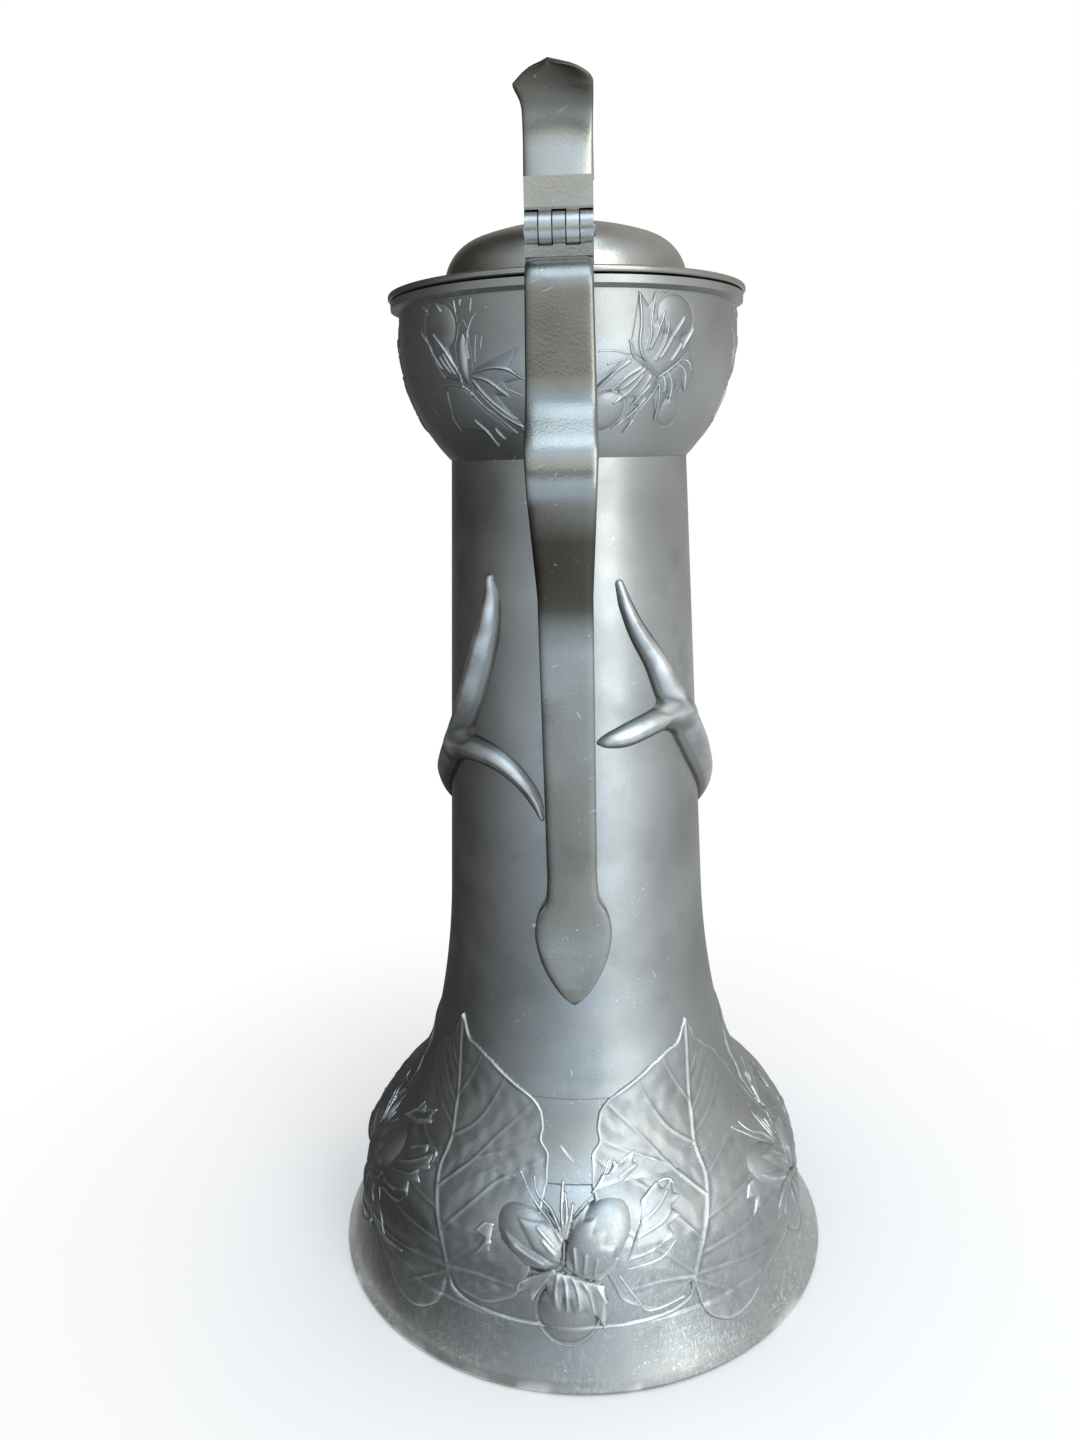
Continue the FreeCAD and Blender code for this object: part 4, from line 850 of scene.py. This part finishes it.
def add_lid():
    bottom = lid_low[2]
    edge_top = bottom + LID_EDGE
    dome_foot = (DOME_FOOT_RADIUS, edge_top + LID_SLOPE)
    dome_turn = (DOME_TURN[0], dome_foot[1] + DOME_TURN[1])
    crown_rise = lid_high[2] - dome_turn[1]
    crown_radius = (dome_turn[0] ** 2 + crown_rise**2) / (2 * crown_rise)
    crown_angles = np.linspace(math.asin(dome_turn[0] / crown_radius), 0, DOME_STEPS)[1:]
    crown = [
        (crown_radius * math.sin(a), lid_high[2] - crown_radius * (1 - math.cos(a))) for a in crown_angles
    ]
    dome = [dome_foot] + arc(dome_foot, dome_turn, DOME_BULGE, DOME_STEPS) + crown
    inner = [(max(radius - LID_INSET, 0), height - LID_WALL) for radius, height in dome[::-1]]
    rim = [(LID_RADIUS - inset, bottom + rise) for inset, rise in LID_ROUNDING]
    rim += [(LID_RADIUS - inset, edge_top - drop) for inset, drop in LID_ROUNDING[::-1]]
    flange_top = [(FLAT_RADIUS, edge_top + FLAT_RISE)]
    mouth = [(inner[-1][0], bottom), (FLAT_RADIUS, bottom)]
    outline = rim + flange_top + dome + inner + mouth
    stretched = np.zeros((len(outline), 1))
    stretched[: len(rim)] = 1
    points, faces = lathe(outline, LID_STEPS, lambda turn: stretched * beak_reach(turn))
    weld(add_piece("lid_shell", points, faces, "lid", "lid_pewter", smooth_angle=40, replaces="lid"))


# Handle and thumbpiece: straps along a line in the plane of the handle. Edges give half a width and its
# height: over the floor for the strap, over its tip for the spade and down from the top for the thumbpiece.


def bent_line(corners, step):
    """A line of straight runs, given as distance out, height and bend radius, every step along it."""
    places = np.array([corner[:2] for corner in corners], float)
    line = [places[0]]
    for before, corner, after, bend in zip(places, places[1:], places[2:], [c[2] for c in corners[1:-1]]):
        first, second = corner - before, after - corner
        first, second = first / np.hypot(*first), second / np.hypot(*second)
        turn = math.atan2(first[0] * second[1] - first[1] * second[0], first @ second)
        cut = bend * math.tan(abs(turn) / 2)
        bulge = math.copysign(bend * (1 - math.cos(turn / 2)), turn)
        line.append(corner - first * cut)
        line += [np.array(p) for p in arc(corner - first * cut, corner + second * cut, bulge, 16)]
    line = np.array(line + [places[-1]])
    ends = lengths_along(line)
    along = np.linspace(0, ends[-1], int(ends[-1] / step) + 1)
    return np.stack([np.interp(along, ends, line[:, k]) for k in (0, 1)], axis=1)


STRAP_POINTS = 36


def strap(line, left, right, half_thickness, squareness, dish=0.0):
    """Points and faces of a strap with rounded edges along a line. Left and right are its two reaches."""
    run = np.gradient(line, axis=0)
    run = run / np.hypot(*run.T)[:, None]
    out = np.stack([-run[:, 1], run[:, 0]], axis=1)
    angle = np.linspace(0, 2 * math.pi, STRAP_POINTS, endpoint=False)
    across = np.sign(np.cos(angle)) * np.abs(np.cos(angle)) ** (2 / squareness)
    through = np.sign(np.sin(angle)) * np.abs(np.sin(angle)) ** (2 / squareness)
    middle, half_width = (left - right)[:, None] / 2, (left + right)[:, None] / 2
    x = middle + half_width * across
    lift = half_thickness[:, None] * through + np.asarray(dish)[..., None] * across**2
    points = np.stack([x, line[:, :1] + lift * out[:, :1], line[:, 1:] + lift * out[:, 1:]], axis=-1)
    faces = [list(face) for face in grid_faces(len(line), STRAP_POINTS, False, True)]
    first_end = list(range(STRAP_POINTS))
    last_end = [number + STRAP_POINTS * (len(line) - 1) for number in first_end[::-1]]
    return points.reshape(-1, 3), faces + [first_end, last_end]


def paint_strap_shade(piece, heights, shades):
    """Paint shade along a strap by height. Shades give a height and how dark the painted shade is there."""
    shades = np.array(shades)
    paint(piece, "painted_shade", np.repeat(np.interp(heights, shades[:, 0], shades[:, 1]), STRAP_POINTS))


STRAP_THICKNESS = 4.2
STRAP_SQUARENESS = 7.0
STRAP_LEVEL = handle_high[2] - STRAP_THICKNESS / 2
HANDLE_CORNERS = [
    (LIP_RADIUS - 2.0, STRAP_LEVEL, 0),
    (64.0, STRAP_LEVEL, 6.0),
    (65.4, 266.8, 20.0),
    (77.4, 251.3, 13.0),
    (61.0, 223.4, 40.0),
    (41.6, 126.0, 60.0),
    (43.0, handle_low[2] + 0.2, 0),
]
# Painted shade along the handle by height: darkest under the bulge, lighter on the bulge, half as dark below
# the shoulder.
HANDLE_PAINTED_SHADE = [
    (205, 0), (213, 0.5), (218, 1), (236, 1), (246, 0.25), (262, 0.25), (270, 0.5), (290, 0.5), (297, 0.2),
]
SPADE_TIP = handle_low[2]
SPADE_EDGE = [
    (0.2, 0), (4.0, 3.8), (8.0, 10.3), (10.3, 17.0), (11.0, 23.0), (9.9, 28.5), (7.7, 33.0), (7.0, 40.0),
]
FULL_THICKNESS_REACH = 5.0
STRAP_EDGE = [(7.0, 221.0), (8.65, 255.0), (7.95, 298.0)]


def add_handle():
    line = bent_line(HANDLE_CORNERS, step=0.7)
    spade = smooth_line([(reach, SPADE_TIP + rise) for reach, rise in SPADE_EDGE])
    edge = np.vstack([spade, STRAP_EDGE])
    half_width = np.interp(line[:, 1], edge[:, 1], edge[:, 0])
    half_thickness = STRAP_THICKNESS / 2 * np.minimum(1, np.sqrt(half_width / FULL_THICKNESS_REACH))
    points, faces = strap(line, half_width, half_width, half_thickness, STRAP_SQUARENESS)
    piece = add_piece(
        "handle_strap", points, faces, "jug", "handle_pewter", smooth_angle=50, replaces="handle"
    )
    paint_strap_shade(piece, line[:, 1], HANDLE_PAINTED_SHADE)


THUMB_CORNERS = [
    (54.4, thumb_low[2] - 0.6, 0),
    (52.0, thumb_low[2] + 15.6, 18.0),
    (60.0, thumb_high[2] - 0.6, 0),
]
THUMB_SQUARENESS = 2.8
THUMB_ROOT_REACH = 8.3
THUMB_STEM = (8.2, 13.0)
THUMB_LEFT_EDGE = [(8.4, 7.4), (10.0, 3.7), (9.3, 2.7), (7.6, 1.5), (5.6, 0.6), (2.6, 0)]
THUMB_RIGHT_EDGE = [(8.4, 4.8), (8.1, 2.6), (6.4, 1.4), (3.6, 0.5), (-1.2, 0)]
# Shares of the length of the thumbpiece, then half its thickness and its dish there.
THUMB_THICKNESS_SHARES = [0, 0.25, 0.7, 1], [1.5, 1.35, 1.0, 0.9]
THUMB_DISH_SHARES = [0, 0.3, 0.8, 1], [0, 0.2, 1.3, 0.9]
# Painted shade on the thumbpiece by height: none low down, growing darker toward its top.
THUMB_PAINTED_SHADE = [(0, 0), (8, 0), (12, 0.5), (16, 0.9), (24, 1)]


def add_thumbpiece():
    line = bent_line(THUMB_CORNERS, step=0.4)
    top = line[-1, 1]
    root = [(THUMB_ROOT_REACH, top - line[0, 1]), THUMB_STEM]
    left_edge = smooth_line(root + THUMB_LEFT_EDGE)
    right_edge = smooth_line(root + THUMB_RIGHT_EDGE)
    left, right = (np.interp(line[:, 1], top - edge[:, 1], edge[:, 0]) for edge in (left_edge, right_edge))
    share = np.linspace(0, 1, len(line))
    half_thickness = np.interp(share, *THUMB_THICKNESS_SHARES)
    dish = -np.interp(share, *THUMB_DISH_SHARES)
    points, faces = strap(line, left, right, half_thickness, THUMB_SQUARENESS, dish)
    piece = add_piece(
        "thumb_plate", points, faces, "lid", "lid_pewter", smooth_angle=60, replaces="thumbpiece"
    )
    paint_strap_shade(piece, line[:, 1] - thumb_low[2], THUMB_PAINTED_SHADE)


# Materials


class Shading:
    """A material's nodes, added one by one and linked as they are made."""

    def __init__(self, name):
        self.material = bpy.data.materials.new(name)
        self.material.use_nodes = True
        self.tree = self.material.node_tree
        self.shader = self.tree.nodes["Principled BSDF"]
        self.place = self.tree.nodes.new("ShaderNodeTexCoord").outputs["Object"]

    def add(self, kind, inputs, output=0, **settings):
        """A node with its settings, and its inputs given as values or as other nodes' outputs."""
        node = self.tree.nodes.new(kind)
        for key, value in settings.items():
            setattr(node, key, value)
        for key, value in inputs.items():
            self.join(node.inputs[key], value)
        return node.outputs[output]

    def join(self, socket, value):
        if isinstance(value, bpy.types.NodeSocket):
            self.tree.links.new(value, socket)
        else:
            socket.default_value = value

    def noise(self, scale, detail, stretch=(1, 1, 1), turn=(0, 0, 0)):
        """Noise with a scale in waves to the metre, stretched along an axis that a turn tilts."""
        inputs = {"Vector": self.place, "Scale": stretch, "Rotation": turn}
        place = self.add("ShaderNodeMapping", inputs, vector_type="TEXTURE")
        return self.add("ShaderNodeTexNoise", {"Vector": place, "Scale": scale, "Detail": detail})

    def span(self, value, low, high, to_low=0.0, to_high=1.0):
        """A value spread from one range to another and held within it."""
        inputs = {"Value": value, "From Min": low, "From Max": high, "To Min": to_low, "To Max": to_high}
        return self.add("ShaderNodeMapRange", inputs)

    def math(self, operation, first, second):
        return self.add("ShaderNodeMath", {0: first, 1: second}, operation=operation)

    def mix(self, share, first, second):
        node = self.tree.nodes.new("ShaderNodeMix")
        node.data_type = "RGBA"
        sockets = {socket.identifier: socket for socket in node.inputs}
        for key, value in (("Factor_Float", share), ("A_Color", first), ("B_Color", second)):
            self.join(sockets[key], value)
        return next(socket for socket in node.outputs if socket.identifier == "Result_Color")

    def attribute(self, name):
        return self.add("ShaderNodeAttribute", {}, "Fac", attribute_name=name)

    def surface(self, shader):
        self.join(self.tree.nodes["Material Output"].inputs["Surface"], shader)


BRIGHT_METAL = (0.74, 0.74, 0.73, 1)
DARK_SHARE, LIGHT_SHARE, STAIN_SHARE = 0.80, 1.12, 0.62
# The colour of the painted shade, as shares of the metal's colour.
PAINTED_SHADE_SHARES = (0.24, 0.22, 0.18)
GRAIN_DEPTH, DENT_DEPTH, MARK_DEPTH = 0.00006, 0.0006, 0.00004
STREAK_STRETCH, SCUFF_STRETCH = (16, 16, 1), (9, 9, 1)
SCRATCH_TURNS = ((0.5, 0.3, 0.2), (1.9, -0.5, 0.9), (0.9, 1.1, 2.2))


def cloudy_tone(shading, colour, grain):
    """The metal's colour, cloudy, stained and grainy, with painted shade in relief hollows, on the antlers
    and on bands of the straps.
    """
    shares = (DARK_SHARE, LIGHT_SHARE, STAIN_SHARE)
    dark, light, stained = (tuple(share * value for value in colour) + (1,) for share in shares)
    shade_tone = tuple(share * value for share, value in zip(PAINTED_SHADE_SHARES, colour)) + (1,)
    tone = shading.mix(shading.span(shading.noise(26, 4), 0.34, 0.66), dark, light)
    tone = shading.mix(shading.span(shading.noise(75, 3), 0.60, 0.78, 0, 0.55), tone, stained)
    tone = shading.mix(shading.span(grain, 0.3, 0.7, 0, 0.22), tone, dark)
    # Painted shade darkens the relief hollows, the antlers and bands of the handle and thumbpiece.
    return shading.mix(shading.span(shading.attribute("painted_shade"), 0.1, 1.0, 0, 0.95), tone, shade_tone)


def nicks_and_scratches(shading, amount):
    """How marked the metal is: specks, scratches, scuffs near the floor and a worn foot edge.

    Heights are in metres. Specks lie in patches that thicken toward the floor.
    """
    height = shading.add("ShaderNodeSeparateXYZ", {"Vector": shading.place}, "Z")
    low = shading.span(height, 0.13, 0.0, 0.55, 1)
    patches = shading.span(shading.noise(40, 2), 0.38, 0.62, 0.0, 0.14)
    limit = shading.math("SUBTRACT", 0.765, shading.math("MULTIPLY", patches, low))
    marks = shading.span(shading.math("SUBTRACT", shading.noise(1100, 2), limit), 0, 0.10, 0, 0.8)
    scuffed = shading.span(shading.noise(30, 3), 0.35, 0.6)
    scuffed = shading.math("MULTIPLY", shading.span(height, 0.07, 0.01), scuffed)
    for turn in SCRATCH_TURNS:
        streaks = shading.span(shading.noise(1700, 1, STREAK_STRETCH, turn), 0.76, 0.80)
        where = shading.span(shading.noise(60, 1, turn=turn), 0.56, 0.66)
        scuffs = shading.span(shading.noise(3000, 2, SCUFF_STRETCH, turn), 0.56, 0.74, 0, 0.6)
        for lines, share in ((streaks, where), (scuffs, scuffed)):
            marks = shading.math("MAXIMUM", marks, shading.math("MULTIPLY", lines, share))
    marks = shading.math("MULTIPLY", marks, amount)
    edge = shading.span(height, 0.0035, 0.0012, 0, 1)
    edge = shading.math("MULTIPLY", edge, shading.span(shading.noise(70, 3), 0.52, 0.66, 0.0, 0.85))
    return shading.math("MAXIMUM", marks, edge)


def pewter(name, colour, roughness, nicks):
    """Dull cast pewter: cloudy tone, fine grain, nicks and scratches, bright worn edges, and painted shade in
    hollows and on straps.
    """
    shading = Shading(name)
    grain = shading.noise(1500, 2)
    dents = shading.noise(55, 1)
    marks = nicks_and_scratches(shading, nicks)
    rubbed = shading.span(shading.noise(130, 2), 0.35, 0.65, 0.35, 0.95)
    wear = shading.math("MULTIPLY", shading.span(shading.attribute("wear"), 0.25, 1.0), rubbed)
    tone = cloudy_tone(shading, colour, grain)
    tone = shading.mix(shading.math("MAXIMUM", marks, wear), tone, BRIGHT_METAL)
    gloss = shading.span(shading.noise(90, 3), 0.3, 0.7, roughness - 0.05, roughness + 0.06)
    rough = shading.math("MULTIPLY", grain, GRAIN_DEPTH)
    for field, depth in ((dents, DENT_DEPTH), (marks, MARK_DEPTH)):
        rough = shading.math("ADD", rough, shading.math("MULTIPLY", field, depth))
    bump = shading.add("ShaderNodeBump", {"Height": rough, "Strength": 0.6, "Distance": 1.0})
    for socket, value in (("Base Color", tone), ("Roughness", gloss), ("Metallic", 1), ("Normal", bump)):
        shading.join(shading.shader.inputs[socket], value)
    return shading.material


# Colour, roughness and how many nicks show.
PEWTERS = {
    "body_pewter": ((0.37, 0.37, 0.355), 0.38, 1),
    "lid_pewter": ((0.37, 0.35, 0.315), 0.28, 0.4),
    "handle_pewter": ((0.305, 0.295, 0.27), 0.24, 0.8),
    "ornament_pewter": ((0.36, 0.36, 0.35), 0.43, 1),
    "pin_metal": ((0.30, 0.29, 0.27), 0.45, 0.4),
}
materials = {name: pewter(name, *look) for name, look in PEWTERS.items()}

for subpart in frame["record"]["subparts"]:
    node = frame["nodes"][subpart["node"]]
    node.data.materials.clear()
    node.data.materials.append(materials[subpart["material_slot"]])

add_foot()
add_neck()
add_lid()
add_handle()
add_thumbpiece()
add_leaves()
add_nut_clusters()
add_antler("antler_on_left", LEFT_BEAM_SHARES, LEFT_TINE_SHARES, "antler_left")
add_antler("antler_on_right", RIGHT_BEAM_SHARES, RIGHT_TINE_SHARES, "antler_right")

# Light: a tall soft box to the right of the camera and one overhead.


def area_light(name, place, target, size, power, colour):
    data = bpy.data.lights.new(name, "AREA")
    data.shape = "RECTANGLE"
    data.size, data.size_y = size
    data.energy = power
    data.color = colour
    lamp = bpy.data.objects.new(name, data)
    lamp.location = place
    lamp.rotation_euler = (Vector(target) - Vector(place)).to_track_quat("-Z", "Y").to_euler()
    scene.collection.objects.link(lamp)


def add_stage(name, points, faces, material):
    """A piece of the surroundings, which is no part of the object."""
    mesh = bpy.data.meshes.new(name)
    mesh.from_pydata(points.tolist(), [], faces.tolist())
    mesh.materials.append(material)
    piece = bpy.data.objects.new(name, mesh)
    scene.collection.objects.link(piece)
    return piece


# What the metal reflects, by turn from the handle's side. The room is dim on the left and in front, where
# the person with the camera stands and shades the near floor. The far floor and the ceiling are bright in
# front and on the right.
WALL_SHADES = [
    (-180, 0.3, 0.27, 0.24),
    (-140, 0.045, 0.042, 0.038),
    (-100, 0.05, 0.05, 0.046),
    (-72, 0.1, 0.1, 0.095),
    (-52, 0.34, 0.34, 0.33),
    (-25, 0.26, 0.26, 0.25),
    (5, 0.34, 0.35, 0.34),
    (25, 0.95, 0.98, 0.97),
    (50, 1.12, 1.14, 1.13),
    (90, 0.85, 0.85, 0.83),
    (140, 0.46, 0.45, 0.42),
]
FLOOR_SHADES = [
    (-180, 0.42, 0.4, 0.38),
    (-140, 0.05, 0.05, 0.047),
    (-105, 0.08, 0.08, 0.08),
    (-70, 0.28, 0.29, 0.3),
    (-36, 0.64, 0.74, 0.85),
    (-5, 1.12, 1.42, 1.75),
    (15, 1.32, 1.65, 2.0),
    (36, 1.25, 1.45, 1.64),
    (65, 0.9, 0.99, 1.06),
    (105, 0.66, 0.71, 0.75),
    (140, 0.62, 0.63, 0.63),
]
NEAR_SHADES = [
    (-180, 0.3, 0.28, 0.26),
    (-140, 0.05, 0.05, 0.047),
    (-105, 0.06, 0.06, 0.06),
    (-70, 0.06, 0.06, 0.06),
    (-36, 0.14, 0.15, 0.16),
    (-18, 0.3, 0.33, 0.35),
    (-3, 0.7, 0.78, 0.84),
    (15, 1.0, 1.15, 1.27),
    (36, 0.95, 1.06, 1.14),
    (65, 0.8, 0.86, 0.9),
    (105, 0.6, 0.64, 0.67),
]
CEILING_SHADES = [
    (-180, 0.36, 0.36, 0.35),
    (-140, 0.05, 0.05, 0.047),
    (-105, 0.07, 0.07, 0.07),
    (-70, 0.22, 0.22, 0.22),
    (-36, 0.68, 0.72, 0.72),
    (-5, 1.3, 1.42, 1.44),
    (15, 1.45, 1.58, 1.6),
    (36, 1.35, 1.44, 1.45),
    (65, 0.95, 1.0, 1.0),
    (105, 0.68, 0.71, 0.72),
]
# Distance, height, shades and brightness of the room, from the floor round the foot up to its ceiling.
ROOM_PROFILE = [
    (0.085, 0.004, NEAR_SHADES, 1.0),
    (0.3, 0.004, NEAR_SHADES, 1.0),
    (0.42, 0.004, FLOOR_SHADES, 0.9),
    (1.0, 0.004, FLOOR_SHADES, 1.1),
    (1.3, 0.16, FLOOR_SHADES, 1.15),
    (1.3, 0.25, WALL_SHADES, 1.0),
    (1.3, 0.4, WALL_SHADES, 1.0),
    (1.3, 0.58, CEILING_SHADES, 1.0),
    (1.3, 0.75, CEILING_SHADES, 1.0),
    (1.2, 1.1, FLOOR_SHADES, 1.2),
    (0.8, 2.2, FLOOR_SHADES, 0.9),
    (0.02, 2.3, CEILING_SHADES, 0.7),
]


ROOM_COLUMNS = 73


def add_room():
    """A glowing card all round the object that only its reflections see."""
    turns = np.linspace(-180, 180, ROOM_COLUMNS)
    points, glows = [], []
    for distance, height, shades, brightness in ROOM_PROFILE:
        points.append(around(np.radians(turns), distance, height))
        corners = np.array(shades)
        colour = [brightness * np.interp(turns, corners[:, 0], corners[:, k], period=360) for k in (1, 2, 3)]
        glows.append(np.stack(colour + [np.ones(len(turns))], axis=1))
    shading = Shading("room_card")
    shade = shading.add("ShaderNodeAttribute", {}, "Color", attribute_name="shade")
    shading.surface(shading.add("ShaderNodeEmission", {"Color": shade}))
    faces = grid_faces(len(ROOM_PROFILE), len(turns))
    room = add_stage("room_card", np.concatenate(points), faces, shading.material)
    colours = room.data.attributes.new("shade", "FLOAT_COLOR", "POINT")
    colours.data.foreach_set("color", np.concatenate(glows).astype(np.float32).ravel())
    for ray in ("camera", "diffuse", "transmission", "volume_scatter", "shadow"):
        setattr(room, f"visible_{ray}", False)


key_place, top_place = around(math.radians(36), 0.75, 0.42), around(math.radians(12), 0.45, 1.1)
area_light("key", key_place, (0, 0, 0.15), size=(0.38, 0.9), power=2.4, colour=(0.95, 1, 0.99))
area_light("top", top_place, (0, 0, 0.1), size=(0.5, 0.45), power=2.0, colour=(0.62, 0.82, 1))
add_room()

world = bpy.data.worlds.new("world")
scene.world = world
world.use_nodes = True
background = world.node_tree.nodes["Background"].inputs
background["Color"].default_value = (1, 1, 1, 1)
background["Strength"].default_value = 1


FLOOR_RADIUS = 6
FLOOR_CORNERS = 64
FADE_START, FADE_END = 0.09, 0.24


def add_floor():
    """A pale floor that keeps the object's shadow and fades into the white background."""
    shading = Shading("floor")
    shading.shader.inputs["Base Color"].default_value = (0.8, 0.8, 0.8, 1)
    shading.shader.inputs["Roughness"].default_value = 0.9
    distance = shading.add("ShaderNodeVectorMath", {0: shading.place}, "Value", operation="LENGTH")
    fade = shading.span(distance, FADE_START, FADE_END)
    white = shading.add("ShaderNodeEmission", {"Strength": 1.0})
    shading.surface(shading.add("ShaderNodeMixShader", {0: fade, 1: shading.shader.outputs[0], 2: white}))
    ring = around(np.linspace(0, 2 * math.pi, FLOOR_CORNERS, endpoint=False), FLOOR_RADIUS, 0)
    add_stage("floor", ring, np.arange(FLOOR_CORNERS)[None, ::-1], shading.material)


add_floor()
